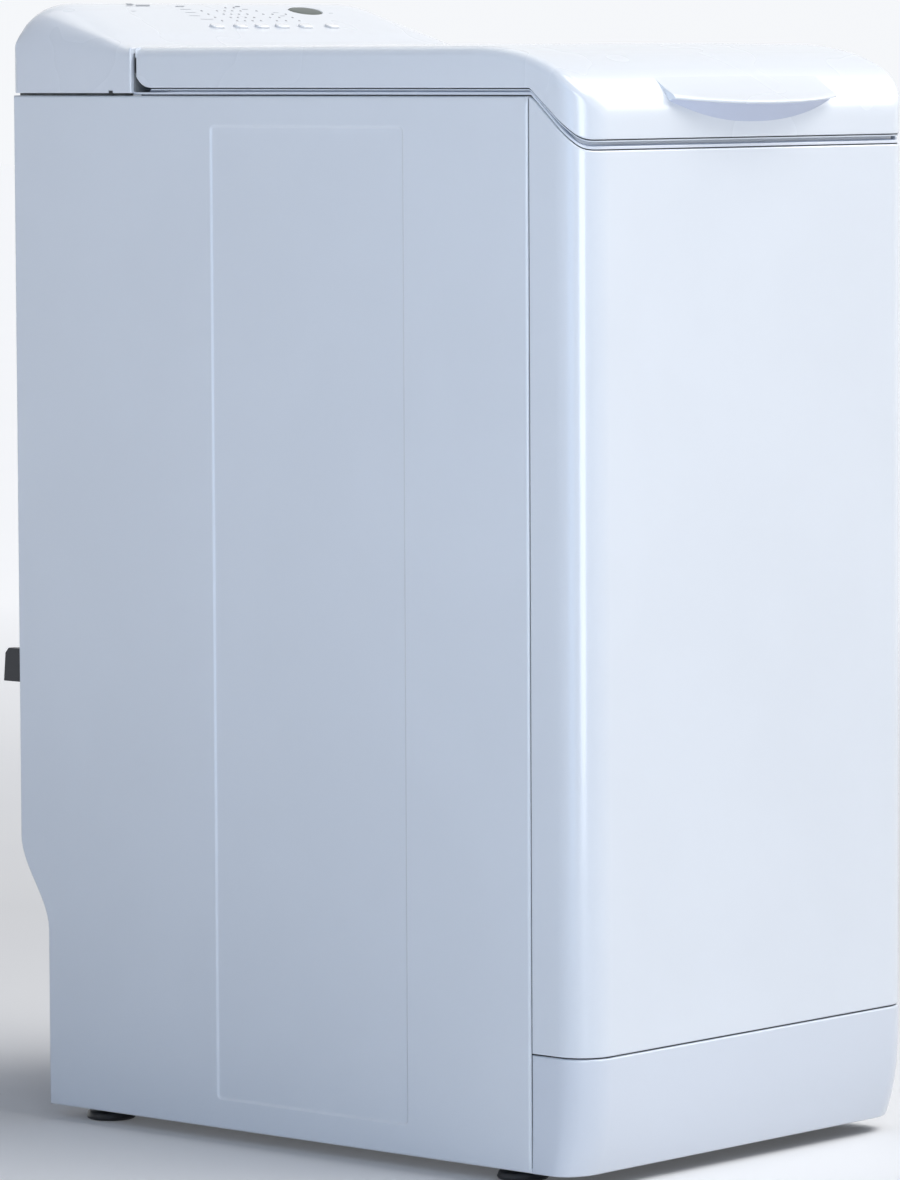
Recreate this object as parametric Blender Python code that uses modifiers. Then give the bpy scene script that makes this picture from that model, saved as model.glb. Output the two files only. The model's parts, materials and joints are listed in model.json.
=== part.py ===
"""A slim top-loading washing machine, 400 mm wide and 600 mm deep, as separate parts that fit together.

Metres. +X runs to the right as seen from the front, the front faces -Y, +Z is up, and the origin is on the
floor under the middle of the cabinet. The drum turns about a level axis along X.
"""

import math

import bmesh
import bpy
from mathutils import Matrix

# --- driving dimensions -------------------------------------------------------------------------------------
HALF_WIDTH = 0.200
FRONT, REAR = -0.300, 0.300
SEAM_Y = -0.244  # the front wrap meets the side panels here
CORNER_R = 0.029  # upright corners of the front wrap
SKIRT = 0.012  # lowest edge of all the panels
PLINTH_TOP = 0.103
SIDE_TOP, FRONT_TOP = 0.8235, 0.783  # the side panels' top edge, and the front panel's
DECK_STEP_Y, LID_STEP_Y = -0.2445, -0.2435  # the deck and the lid step down from here to the front
RECESS_DEPTH, RECESS_LOW, RECESS_HIGH = 0.0305, 0.154, 0.228  # skirting recess at the foot of the rear

LID_SIDE, LID_FRONT = 0.8295, 0.7912  # the lid's lower edge, along the side and across the front
LID_TOP = 0.861
LID_REAR, LID_REAR_R = 0.1645, 0.0175
LID_CURVE_Y, LID_CURVE_Z = -0.190, 0.806  # the lid's front curve is a quarter ellipse between these
HINGE_Y, HINGE_Z = 0.150, 0.852
HINGE_HEAD_R, KNUCKLE_R, PIN_R = 0.0052, 0.0054, 0.0027
HANDLE_HALF, HANDLE_REACH, HANDLE_END = 0.098, 0.0185, 0.0015  # half length; reach at the middle, at the ends

DISPENSER_X, DISPENSER_Y = 0.1295, (0.1225, 0.1605)
POCKET_STOPS = (-DISPENSER_X, -0.040, 0.050, DISPENSER_X)  # the pockets lie between these
SOFTENER_X, SOFTENER_HINGE = (0.0535, 0.1265), (0.158, 0.8305)

CONSOLE_FRONT, CONSOLE_FOOT = 0.168, 0.8263
CREST_Y, CREST_Z, CONSOLE_SHOULDER = 0.270, 0.8975, 0.848
CONSOLE_EDGE = 0.035  # how far in the console's ends and rear edge start to round over
SLOPE = math.atan2(CREST_Z - LID_TOP, CREST_Y - CONSOLE_FRONT)

DRUM_Y, DRUM_Z = -0.015, 0.455  # the drum's axis
DRUM_R, DRUM_HALF, DRUM_SKIN = 0.230, 0.1275, 0.0015
HATCH_X, HATCH_Y, FLAP_HINGE_R = 0.090, 0.100, 0.2275
LATCH_Y = (0.004, 0.016)  # the flaps' catch, from the middle of the hatch
TUB_R, TUB_HALF, TUB_WALL = 0.250, 0.150, 0.004
NECK_X, NECK_Y, NECK_TOP = 0.139, 0.134, 0.765
MOUTH_X, MOUTH_Y, COLLAR_FOOT = 0.138, 0.130, 0.800
PULLEY_R, PULLEY_X = 0.130, (0.168, 0.180)
MOTOR_PULLEY_R = 0.010
MOTOR_Y, MOTOR_Z, MOTOR_R = 0.085, 0.135, 0.058
FRAME_Z = (0.745, 0.765)  # the ring that the tub hangs from
SPRING_X, SPRING_FOOT, SPRING_R = 0.163, 0.6063, 0.010
DAMPER_X, DAMPER_Y = 0.115, -0.120
SUMP_X, SUMP_Y, SUMP_FLOOR = 0.100, (-0.075, 0.045), 0.185
PUMP_X, PUMP_Z = 0.030, 0.075
PUMP_OUTER_R, PUMP_BORE_R, CAN_R, IMPELLER_R = 0.032, 0.026, 0.028, 0.020
HOSE_Y, HOSE_R, HOSE_BORE, HOSE_FOOT = -0.050, 0.0140, 0.010, 0.118
INLET_X, INLET_Z = 0.140, 0.795  # the water inlet is this far right of the middle, the cord gland as far left
FEET = {
    "foot_front_left": (-0.165, -0.206),
    "foot_front_right": (0.165, -0.206),
    "foot_rear_left": (-0.165, 0.234),
    "foot_rear_right": (0.165, 0.234),
}

SHEET, PLASTIC, DECK_THICK, GAP = 0.0012, 0.0025, 0.0025, 0.0003
FOLD = 0.015  # width of the side panels' folded edges
PRESSING_HALF, PRESSING_R, PRESSING_Y, PRESSING_Z = (0.1015, 0.383), 0.005, -0.0185, 0.418
ROUND = 40  # sides of a large round part

BUTTONS = {
    "programme_button": -0.053,
    "temperature_button": -0.025,
    "spin_speed_button": 0.0,
    "options_button": 0.024,
    "delay_button": 0.052,
    "start_button": 0.084,
}
BUTTON_Y = 0.214
BUTTON_SIZE = (0.014, 0.0075)
DISPLAY_X, DISPLAY_Y, DISPLAY_SIZE = 0.093, 0.252, (0.036, 0.019)

# name: colour, roughness, metallic
FINISHES = {
    "white_enamel": ((0.80, 0.83, 0.88), 0.32, 0.0),
    "white_plastic": ((0.84, 0.86, 0.89), 0.25, 0.0),
    "grey_plastic": ((0.55, 0.58, 0.62), 0.45, 0.0),
    "black_plastic": ((0.03, 0.03, 0.035), 0.5, 0.0),
    "dark_display": ((0.06, 0.07, 0.08), 0.12, 0.0),
    "rubber": ((0.16, 0.16, 0.17), 0.7, 0.0),
    "zinc_steel": ((0.60, 0.61, 0.63), 0.4, 1.0),
    "stainless": ((0.68, 0.68, 0.69), 0.28, 1.0),
    "aluminium": ((0.70, 0.71, 0.72), 0.4, 1.0),
    "tub_plastic": ((0.62, 0.64, 0.66), 0.55, 0.0),
    "concrete": ((0.45, 0.44, 0.42), 0.9, 0.0),
    "circuit_board": ((0.05, 0.25, 0.12), 0.5, 0.0),
}


# --- making and joining meshes ------------------------------------------------------------------------------
def clear_scene():
    for thing in list(bpy.data.objects):
        bpy.data.objects.remove(thing, do_unlink=True)


def finish(name):
    colour, roughness, metallic = FINISHES[name]
    made = bpy.data.materials.get(name) or bpy.data.materials.new(name)
    made.use_nodes = True
    shader = made.node_tree.nodes["Principled BSDF"]
    shader.inputs["Base Color"].default_value = (*colour, 1.0)
    shader.inputs["Roughness"].default_value = roughness
    shader.inputs["Metallic"].default_value = metallic
    return made


def stored(name, mesh):
    """An object in the machine's collection."""
    thing = bpy.data.objects.new(name, mesh)
    MACHINE.objects.link(thing)
    return thing


def from_bmesh(name, cage):
    bmesh.ops.recalc_face_normals(cage, faces=cage.faces)
    mesh = bpy.data.meshes.new(name)
    cage.to_mesh(mesh)
    cage.free()
    return stored(name, mesh)


def evaluated(thing, weld=1e-6):
    """A plain mesh in place of a curve or an object with modifiers, welded and facing out."""
    bpy.context.view_layer.update()
    mesh = bpy.data.meshes.new_from_object(thing.evaluated_get(bpy.context.evaluated_depsgraph_get()))
    cage = bmesh.new()
    cage.from_mesh(mesh)
    bmesh.ops.transform(cage, matrix=thing.matrix_world, verts=cage.verts)
    bmesh.ops.remove_doubles(cage, verts=cage.verts, dist=weld)
    name = thing.name
    bpy.data.objects.remove(thing, do_unlink=True)
    return from_bmesh(name, cage)


def box(name, low, high):
    cage = bmesh.new()
    bmesh.ops.create_cube(cage, size=1.0)
    size = [b - a for a, b in zip(low, high)]
    middle = [(a + b) / 2 for a, b in zip(low, high)]
    bmesh.ops.scale(cage, vec=size, verts=cage.verts)
    bmesh.ops.translate(cage, vec=middle, verts=cage.verts)
    return from_bmesh(name, cage)


TURNS = {  # carry a shape's own z axis onto this one, and its x and y onto the next two in X, Y, Z order
    "X": Matrix(((0, 0, 1, 0), (1, 0, 0, 0), (0, 1, 0, 0), (0, 0, 0, 1))),
    "Y": Matrix(((0, 1, 0, 0), (0, 0, 1, 0), (1, 0, 0, 0), (0, 0, 0, 1))),
    "Z": Matrix.Identity(4),
}


def rod(name, axis, centre, low, high, radius, sides=ROUND):
    """A cylinder along an axis, from low to high on it; centre gives the other two coordinates in order."""
    cage = bmesh.new()
    bmesh.ops.create_cone(
        cage, cap_ends=True, segments=sides, radius1=radius, radius2=radius, depth=high - low
    )
    bmesh.ops.transform(cage, matrix=TURNS[axis], verts=cage.verts)
    place = list(centre)
    place.insert("XYZ".index(axis), (low + high) / 2)
    bmesh.ops.translate(cage, vec=place, verts=cage.verts)
    return from_bmesh(name, cage)


def prism(name, across, low, high, *outlines):
    """A flat outline, given in the other two axes in order, run from low to high. More outlines are holes."""
    curve = bpy.data.curves.new(name, "CURVE")
    curve.dimensions = "2D"
    curve.fill_mode = "BOTH"
    curve.extrude = (high - low) / 2
    for outline in outlines:
        spline = curve.splines.new("POLY")
        spline.points.add(len(outline) - 1)
        for point, (u, v) in zip(spline.points, outline):
            point.co = (u, v, 0, 1)
        spline.use_cyclic_u = True
    thing = stored(name, curve)
    thing.matrix_world = TURNS[across]
    shift = [0, 0, 0]
    shift["XYZ".index(across)] = (low + high) / 2
    thing.matrix_world.translation = shift
    return evaluated(thing)


def turned(name, axis, centre, profile, sides=ROUND):
    """A profile of (radius, place along the axis) turned about it. A profile off the axis closes on itself."""
    cage = bmesh.new()
    points = [cage.verts.new((radius, 0, along)) for radius, along in profile]
    for a, b in zip(points, points[1:]):
        cage.edges.new((a, b))
    if profile[0][0] > 0:
        cage.edges.new((points[-1], points[0]))
    mesh = bpy.data.meshes.new(name)
    cage.to_mesh(mesh)
    cage.free()
    thing = stored(name, mesh)
    screw = thing.modifiers.new("turn", "SCREW")
    screw.steps = screw.render_steps = sides
    screw.use_merge_vertices = True
    screw.merge_threshold = 1e-6
    thing.matrix_world = TURNS[axis]
    place = list(centre)
    place.insert("XYZ".index(axis), 0)
    thing.matrix_world.translation = place
    return evaluated(thing)


def loft(name, sections):
    """A skin over closed sections that all have the same number of points, capped at both ends."""
    cage = bmesh.new()
    rings = [[cage.verts.new(p) for p in section] for section in sections]
    for here, there in zip(rings, rings[1:]):
        for i in range(len(here)):
            j = (i + 1) % len(here)
            cage.faces.new((here[i], here[j], there[j], there[i]))
    cage.faces.new(rings[0])
    cage.faces.new(rings[-1])
    return from_bmesh(name, cage)


def combine(thing, tool, operation):
    """Apply a Boolean with tool, which is used up."""
    step = thing.modifiers.new(operation.lower(), "BOOLEAN")
    step.operation = operation
    step.object = tool
    result = evaluated(thing, weld=1e-7)
    bpy.data.objects.remove(tool, do_unlink=True)
    return result


def cut(thing, *tools):
    for tool in tools:
        thing = combine(thing, tool, "DIFFERENCE")
    return thing


def join(thing, *tools):
    for tool in tools:
        thing = combine(thing, tool, "UNION")
    return thing


def common(thing, tool):
    return combine(thing, tool, "INTERSECT")


def done(thing, name, colour, origin=(0, 0, 0), smooth=True):
    """Name a finished part, give it its finish and move its origin."""
    thing.name = thing.data.name = name
    thing.data.materials.clear()
    thing.data.materials.append(finish(colour))
    thing.data.transform(Matrix.Translation([-v for v in origin]))
    thing.location = origin
    if smooth:
        thing.data.shade_smooth()
        thing.data.set_sharp_from_angle(angle=math.radians(35))
    return thing


# --- outlines -----------------------------------------------------------------------------------------------
def arc(u, v, radius, start, end, steps, stretch=1.0):
    """Points on an arc, in degrees; stretch makes the second coordinate's radius that much larger."""
    found = []
    for i in range(steps + 1):
        a = math.radians(start + (end - start) * i / steps)
        found.append((u + radius * math.cos(a), v + radius * stretch * math.sin(a)))
    return found


def rounded_box(half_u, half_v, radius, u=0.0, v=0.0, steps=4):
    found = []
    for turn, (su, sv) in enumerate(((1, 1), (-1, 1), (-1, -1), (1, -1))):
        corner = (u + su * (half_u - radius), v + sv * (half_v - radius))
        found += arc(*corner, radius, 90 * turn, 90 * turn + 90, steps)
    return found


def oval(half_u, half_v, u=0.0, v=0.0, sides=20):
    return arc(u, v, half_u, 0, 360 - 360 / sides, sides - 1, stretch=half_v / half_u)


def step_drop(s):
    """How far a stepped edge has dropped, 0 to 1, at a share s of the way from its start to the front."""
    t, turn = (s - 0.05) * 1.24, 0.12
    if t < 1 - turn:
        return max(t, 0.0)
    return min(t, 1 + turn) - (min(t, 1 + turn) - 1 + turn) ** 2 / (4 * turn)


def step_edge(start, high, low, rear, front=FRONT, shift=0.0):
    """Points (y, z), rear to front, of an edge that is level to its start and then drops to the front."""
    stops = [0.0, 0.05, 0.3, 0.55, 0.76, 0.80, 0.84, 0.88, (start - front) / (start - FRONT)]
    drop = [(start + (FRONT - start) * s, high - (high - low) * step_drop(s) + shift) for s in stops]
    return [(rear, high + shift), *drop]


def rear_line(z):
    """How far back the cabinet reaches: the skirting recess eases in near the floor."""
    t = min(max((RECESS_HIGH - z) / (RECESS_HIGH - RECESS_LOW), 0.0), 1.0)
    return REAR - RECESS_DEPTH * t * t * (3 - 2 * t)


def rear_edge(low, high, inset):
    """Points (y, z) down the rear from high to low."""
    bends = [RECESS_HIGH + (RECESS_LOW - RECESS_HIGH) * i / 8 for i in range(9)]
    return [(rear_line(z) - inset, z) for z in [high, *bends, low]]


def wrap_edge(inset, rear=SEAM_Y):
    """Points (x, y) round the front of the cabinet, from the left seam to the right one."""
    x, y, radius = HALF_WIDTH - CORNER_R, FRONT + CORNER_R, CORNER_R - inset
    found = [(-HALF_WIDTH + inset, rear)]
    found += arc(-x, y, radius, 180, 270, 6)
    found += arc(x, y, radius, 270, 360, 6)
    return [*found, (HALF_WIDTH - inset, rear)]


def lid_profile(inset, rear, foot_drop=0.0):
    """The lid's side view (y, z): level top, long front curve, stepped lower edge."""
    width, height = LID_CURVE_Y - FRONT - inset, LID_TOP - LID_CURVE_Z - inset
    top = arc(LID_CURVE_Y, LID_CURVE_Z, width, 90, 180, 9, stretch=height / width)
    lower = step_edge(LID_STEP_Y, LID_SIDE, LID_FRONT, rear, FRONT + inset, -foot_drop)
    lower.reverse()
    return top, lower


def console_height(x, y):
    """The console's top: a straight slope up to the crest, rounded over at both ends and at the rear."""
    rise = (CREST_Z - LID_TOP) * min((y - CONSOLE_FRONT) / (CREST_Y - CONSOLE_FRONT), 1.0)
    end = max((abs(x) - HALF_WIDTH + CONSOLE_EDGE) / CONSOLE_EDGE, 0.0)
    z = LID_TOP + rise * math.sqrt(max(1 - end * end, 0.0))
    back = max((y - REAR + CONSOLE_EDGE) / CONSOLE_EDGE, 0.0)
    return CONSOLE_SHOULDER + (z - CONSOLE_SHOULDER) * math.sqrt(max(1 - back * back, 0.0))


# --- cabinet ------------------------------------------------------------------------------------------------
def side_panel(side):
    """A steel sheet with all its edges folded in, and a shallow pressed panel."""

    def outline(inset):
        front = SEAM_Y + inset
        rear = rear_edge(SKIRT + inset, SIDE_TOP - inset, inset)
        return [(front, SKIRT + inset), (front, SIDE_TOP - inset), *rear]

    def at(inner, outer):
        return sorted((side * inner, side * outer))

    half_y, half_z = PRESSING_HALF
    margin = 0.003
    pressed = rounded_box(half_y, half_z, PRESSING_R, u=PRESSING_Y, v=PRESSING_Z)
    backed = rounded_box(half_y + margin, half_z + margin, PRESSING_R, u=PRESSING_Y, v=PRESSING_Z)
    rim = HALF_WIDTH - FOLD
    panel = prism("panel", "X", *at(rim, HALF_WIDTH), outline(0.0))
    panel = cut(panel, prism("hollow", "X", *at(rim - 0.01, HALF_WIDTH - SHEET), outline(SHEET)))
    panel = join(panel, prism("backing", "X", *at(HALF_WIDTH - 2 * SHEET, HALF_WIDTH - SHEET / 2), backed))
    panel = cut(panel, prism("pressing", "X", *at(HALF_WIDTH - SHEET, HALF_WIDTH + 0.01), pressed))
    name = "left_side_panel" if side < 0 else "right_side_panel"
    return done(panel, name, "white_enamel", smooth=False)


def front_panel():
    wrap = wrap_edge(0.0, SEAM_Y - GAP)
    inner = wrap_edge(SHEET, SEAM_Y - GAP)
    panel = prism("panel", "Z", PLINTH_TOP + GAP, SIDE_TOP, wrap + inner[::-1])
    above = step_edge(DECK_STEP_Y, SIDE_TOP, FRONT_TOP, SEAM_Y + 0.02)
    above += [(FRONT - 0.02, FRONT_TOP), (FRONT - 0.02, 0.9), (SEAM_Y + 0.02, 0.9)]
    panel = cut(panel, prism("above", "X", -0.25, 0.25, above))
    return done(panel, "front_panel", "white_enamel")


def plinth():
    """A moulded kick panel that curls back towards the floor and pulls straight off forwards."""

    def section(z):
        curl = 0.015 * max((PLINTH_TOP - z) / (PLINTH_TOP - SKIRT), 0.0) ** 3
        keep = 1 - curl / (SEAM_Y - FRONT)
        ring = wrap_edge(0.0, SEAM_Y - GAP) + wrap_edge(PLASTIC, SEAM_Y - GAP)[::-1]
        return [(x, SEAM_Y + (y - SEAM_Y) * keep, z) for x, y in ring]

    levels = [SKIRT, 0.017, 0.025, 0.038, 0.055, 0.078, PLINTH_TOP]
    shell = loft("shell", [section(z) for z in levels])
    return done(shell, "plinth", "white_plastic", origin=(0, FRONT, SKIRT))


def rear_panel():
    low, high, half = 0.030, SIDE_TOP - 0.002, HALF_WIDTH - 0.0035
    outer = rear_edge(low, high, SHEET + GAP)
    inner = rear_edge(low, high, 2 * SHEET + GAP)
    panel = prism("panel", "X", -half, half, outer + inner[::-1])
    panel = cut(
        panel,
        rod("valve_hole", "Y", (INLET_X, INLET_Z), 0.28, 0.31, 0.0136, 20),
        rod("gland_hole", "Y", (-INLET_X, INLET_Z), 0.28, 0.31, 0.0095, 20),
    )
    return done(panel, "rear_panel", "white_enamel")


def base_frame():
    """A pressed ring under the cabinet, with a cross member for the dampers and a hole for each foot."""
    low, high = SKIRT + 0.0018, 0.034
    outer = rounded_box(0.197, 0.250, 0.008, v=0.012)
    inner = rounded_box(0.135, 0.190, 0.008, v=0.015)
    frame = prism("frame", "Z", low, high, outer, inner)
    half, margin = (0.140, 0.016), 0.001
    near = (-half[0], DAMPER_Y - half[1], low + margin)
    far = (half[0], DAMPER_Y + half[1], high - margin)
    frame = join(frame, box("cross_member", near, far))
    for x, y in FEET.values():
        frame = cut(frame, rod("foot_hole", "Z", (x, y), 0.0, 0.05, 0.0057, 16))
    return done(frame, "base_frame", "zinc_steel")


def foot(name):
    """A screw-in foot: a rubber-shod disc, a hexagon for the spanner and a stud."""
    x, y = FEET[name]
    profile = [(0, 0), (0.019, 0), (0.020, 0.002), (0.018, 0.007), (0.009, 0.0085), (0.009, 0.0125)]
    profile += [(0.005, 0.0125), (0.005, 0.046), (0, 0.046)]
    return done(turned("foot", "Z", (x, y), profile, 14), name, "black_plastic", origin=(x, y, 0))


def suspension_frame():
    outer = rounded_box(0.1968, 0.2625, 0.006, v=0.0275)
    inner = rounded_box(0.152, 0.225, 0.010, v=0.0250)
    return done(prism("ring", "Z", *FRAME_Z, outer, inner), "suspension_frame", "zinc_steel")


def inlet_valve():
    """Water inlet: a coil block inside and a threaded spigot through the rear panel."""
    body = box("body", (INLET_X - 0.020, 0.248, INLET_Z - 0.017), (INLET_X + 0.020, 0.290, INLET_Z + 0.017))
    spigot = rod("spigot", "Y", (INLET_X, INLET_Z), 0.285, 0.313, 0.0130, 24)
    bore = rod("bore", "Y", (INLET_X, INLET_Z), 0.292, 0.320, 0.0095, 24)
    return done(cut(join(body, spigot), bore), "inlet_valve", "white_plastic")


def cord_gland():
    """The strain relief that the mains lead would leave by."""
    profile = [(0.0045, 0.290), (0.0090, 0.290), (0.0090, 0.2995), (0.0125, 0.2995)]
    profile += [(0.0125, 0.3025), (0.0080, 0.3045), (0.0065, 0.3150), (0.0045, 0.3150)]
    return done(turned("gland", "Y", (-INLET_X, INLET_Z), profile, 14), "cord_gland", "black_plastic")


def hose_holder():
    """An open clip on the rear that parks the drain hose."""
    low, high, left, right = 0.352, 0.379, -0.1985, -0.164
    side_view = [(0.3003, low), (0.3185, low), (0.3165, high - 0.004), (0.313, high), (0.3003, high)]
    clip = prism("clip", "X", left, right, side_view)
    middle = (left + right) / 2
    channel = rod("channel", "Z", (middle, 0.3135), low - 0.01, high + 0.01, 0.0105, 20)
    mouth = box("mouth", (middle - 0.0085, 0.3135, low - 0.01), (middle + 0.0085, 0.33, high + 0.01))
    return done(cut(clip, channel, mouth), "hose_holder", "black_plastic")


# --- deck ---------------------------------------------------------------------------------------------------
def top_deck():
    """The moulded top under the lid: a stepped plate with the loading mouth and the dispenser cut-out."""
    rear = REAR - 0.003
    under = step_edge(DECK_STEP_Y, SIDE_TOP, FRONT_TOP, rear, FRONT + 0.0015, GAP)
    over = step_edge(DECK_STEP_Y, SIDE_TOP, FRONT_TOP, rear, FRONT + 0.0015, DECK_THICK)
    deck = prism("deck", "X", -0.1985, 0.1985, under + over[::-1])
    corners = prism("plan", "Z", 0.7, 0.9, [*wrap_edge(0.0015), (0.1985, 0.31), (-0.1985, 0.31)])
    deck = common(deck, corners)
    outer = rounded_box(MOUTH_X + PLASTIC, MOUTH_Y + PLASTIC, 0.0225, v=DRUM_Y)
    inner = rounded_box(MOUTH_X, MOUTH_Y, 0.020, v=DRUM_Y)
    deck = join(deck, prism("collar", "Z", COLLAR_FOOT, SIDE_TOP + 0.0015, outer))
    below, above = 0.77, 0.85
    dispenser = (-DISPENSER_X - GAP, DISPENSER_X + GAP), (DISPENSER_Y[0] - GAP, DISPENSER_Y[1] + GAP)
    deck = cut(
        deck,
        prism("mouth", "Z", COLLAR_FOOT - 0.01, above, inner),
        box("dispenser_hole", *zip(*dispenser, (COLLAR_FOOT, above))),
        box("latch_hole", (-0.012, -0.272, below), (0.012, -0.249, above)),
    )
    return done(deck, "top_deck", "grey_plastic", smooth=False)


def loading_gasket():
    outer = rounded_box(MOUTH_X + 0.002, MOUTH_Y + 0.005, 0.024, v=DRUM_Y)
    inner = rounded_box(MOUTH_X - 0.002, MOUTH_Y + 0.001, 0.020, v=DRUM_Y)
    ring = prism("ring", "Z", NECK_TOP + GAP, COLLAR_FOOT - GAP, outer, inner)
    return done(ring, "loading_gasket", "rubber")


def door_lock():
    """The lock under the deck's front: the lid's latch drops into its slot."""
    body = box("body", (-0.035, -0.278, 0.757), (0.035, -0.246, 0.788))
    slot = box("slot", (-0.011, -0.270, 0.764), (0.011, -0.251, 0.80))
    return done(cut(body, slot), "door_lock", "black_plastic", smooth=False)


def detergent_box():
    """Three pockets for prewash, main wash and softener, hung in the deck behind the mouth."""
    y0, y1 = DISPENSER_Y
    foot, rim_foot, rim_top, lip, wall = 0.772, 0.8263, 0.8275, 0.003, 0.0025
    tray = box("tray", (-DISPENSER_X, y0, foot), (DISPENSER_X, y1, rim_top - GAP))
    rim = box("rim", (-DISPENSER_X - lip, y0 - lip, rim_foot), (DISPENSER_X + lip, y1 + wall, rim_top))
    tray = join(tray, rim)
    for left, right in zip(POCKET_STOPS, POCKET_STOPS[1:]):
        pocket = box("pocket", (left + wall, y0 + wall, foot + lip), (right - wall, y1 - wall, rim_top + 0.01))
        tray = cut(tray, pocket)
    return done(tray, "detergent_box", "white_plastic", smooth=False)


def softener_flap():
    """A small cover over the softener pocket, hinged at its rear edge."""
    y, z = SOFTENER_HINGE
    left, right = SOFTENER_X
    plate = box("plate", (left, y - 0.0265, z - 0.0012), (right, y, z + 0.0006))
    barrel = rod("barrel", "X", SOFTENER_HINGE, left, right, 0.0018, 12)
    return done(join(plate, barrel), "softener_flap", "grey_plastic", origin=((left + right) / 2, y, z))


# --- lid ----------------------------------------------------------------------------------------------------
def lid_shell():
    """Level top, long front curve and stepped lower edge, open below and behind to clear the console."""
    top, lower = lid_profile(0.0, LID_REAR - LID_REAR_R)
    heel = arc(LID_REAR - LID_REAR_R, LID_SIDE + LID_REAR_R, LID_REAR_R, 270, 360, 4)
    shell = prism("shell", "X", -HALF_WIDTH, HALF_WIDTH, [*top, *lower, *heel, (LID_REAR, LID_TOP)])
    plan = [*wrap_edge(0.0), (HALF_WIDTH, 0.2), (-HALF_WIDTH, 0.2)]
    shell = common(shell, prism("plan", "Z", 0.7, 0.9, plan))
    shell = cut(shell, lid_hollow(PLASTIC, LID_REAR - PLASTIC))
    open_rear = box("open_rear", (-0.1975, 0.12, 0.8), (0.1975, 0.2, LID_TOP - 0.0035))
    return done(cut(shell, open_rear), "lid_shell", "white_plastic", origin=(0, HINGE_Y, HINGE_Z))


def lid_hollow(inset, rear, foot_drop=0.02):
    """A solid that fills the lid's inside, this far in from its outer face."""
    top, lower = lid_profile(inset, rear, foot_drop)
    half = HALF_WIDTH - inset
    inside = prism("inside", "X", -half, half, [*top, *lower, (rear, LID_TOP - inset)])
    plan = [*wrap_edge(inset), (HALF_WIDTH - inset, 0.25), (-HALF_WIDTH + inset, 0.25)]
    return common(inside, prism("plan", "Z", 0.7, 0.9, plan))


def lid_liner():
    """The lid's inner moulding, with the two hinge knuckles and the latch."""
    outer_inset = PLASTIC + 0.0006
    inner_inset = outer_inset + 0.002
    rear = 0.135
    liner = lid_hollow(outer_inset, rear, foot_drop=0.0)
    liner = cut(liner, lid_hollow(inner_inset, rear + 0.010))
    ceiling = LID_TOP - outer_inset
    for side in (-1, 1):
        x0, x1 = sorted((side * 0.160, side * 0.174))
        arm = box("arm", (x0, rear - 0.008, ceiling - 0.0045), (x1, HINGE_Y, ceiling))
        knuckle = rod("knuckle", "X", (HINGE_Y, HINGE_Z), x0, x1, KNUCKLE_R, 20)
        pin_hole = rod("pin_hole", "X", (HINGE_Y, HINGE_Z), x0 - 0.01, x1 + 0.01, PIN_R + 0.0004, 20)
        liner = cut(join(liner, arm, knuckle), pin_hole)
    stem = box("stem", (-0.008, -0.263, 0.772), (0.008, -0.260, 0.843))
    nose = box("nose", (-0.008, -0.2665, 0.772), (0.008, -0.2605, 0.778))
    liner = join(liner, stem, nose)
    return done(liner, "lid_liner", "white_plastic", origin=(0, HINGE_Y, HINGE_Z), smooth=False)


def lid_handle():
    """A crescent visor on the lid's front curve, with a finger space under it."""
    sections = []
    steps = 12
    for i in range(steps + 1):
        x = -HANDLE_HALF + 2 * HANDLE_HALF * i / steps
        swell = 1 - abs(x / HANDLE_HALF) ** 2.2
        reach = HANDLE_END + (HANDLE_REACH - HANDLE_END) * swell
        tip_z = 0.822 - 0.008 * swell
        low_z = tip_z - 0.001 - 0.010 * swell
        top_z = tip_z + 0.004 + 0.018 * swell
        back = [(lid_front(z) - 0.0005, z) for z in spread(low_z, top_z, 5)]
        tip = (FRONT - reach, tip_z)
        brow = (tip[0] + 0.0006, tip_z + 0.0014)
        sections.append([(x, y, z) for y, z in [*back[::-1], tip, brow]])
    return done(loft("handle", sections), "lid_handle", "white_plastic", origin=(0, HINGE_Y, HINGE_Z))


def spread(low, high, count):
    return [low + (high - low) * i / (count - 1) for i in range(count)]


def lid_front(z):
    """Where the lid's outer face is at this height, on its front curve or below it."""
    if z <= LID_CURVE_Z:
        return FRONT
    up = min((z - LID_CURVE_Z) / (LID_TOP - LID_CURVE_Z), 1.0)
    return LID_CURVE_Y + (FRONT - LID_CURVE_Y) * math.sqrt(1 - up * up)


def lid_hinge(side):
    """A post on the deck with the pin that a lid knuckle turns on."""
    x0, x1 = sorted((side * 0.1525, side * 0.1585))
    p0, p1 = sorted((side * 0.157, side * 0.177))
    half_depth = 0.0036  # slim enough to clear the lid's rear edge when the lid stands open
    foot = SIDE_TOP + DECK_THICK + GAP
    post = box("post", (x0, HINGE_Y - half_depth, foot), (x1, HINGE_Y + half_depth, HINGE_Z))
    head = rod("head", "X", (HINGE_Y, HINGE_Z), x0, x1, HINGE_HEAD_R, 20)
    pin = rod("pin", "X", (HINGE_Y, HINGE_Z), p0, p1, PIN_R, 20)
    return done(join(post, head, pin), "lid_hinge_left" if side < 0 else "lid_hinge_right", "zinc_steel")


# --- console ------------------------------------------------------------------------------------------------
def console_point(x, y, out=0.0):
    """A point on the sloping middle of the console, or this far out along its normal."""
    z = LID_TOP + (y - CONSOLE_FRONT) * math.tan(SLOPE)
    return (x, y - out * math.sin(SLOPE), z + out * math.cos(SLOPE))


def on_console(name, outline, x, y, low, high):
    """A prism of the outline standing on the console's slope, from low to high along its normal."""
    thing = prism(name, "Z", low, high, outline)
    place = Matrix.Translation(console_point(x, y)) @ Matrix.Rotation(SLOPE, 4, "X")
    thing.data.transform(place)
    return thing


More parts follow.
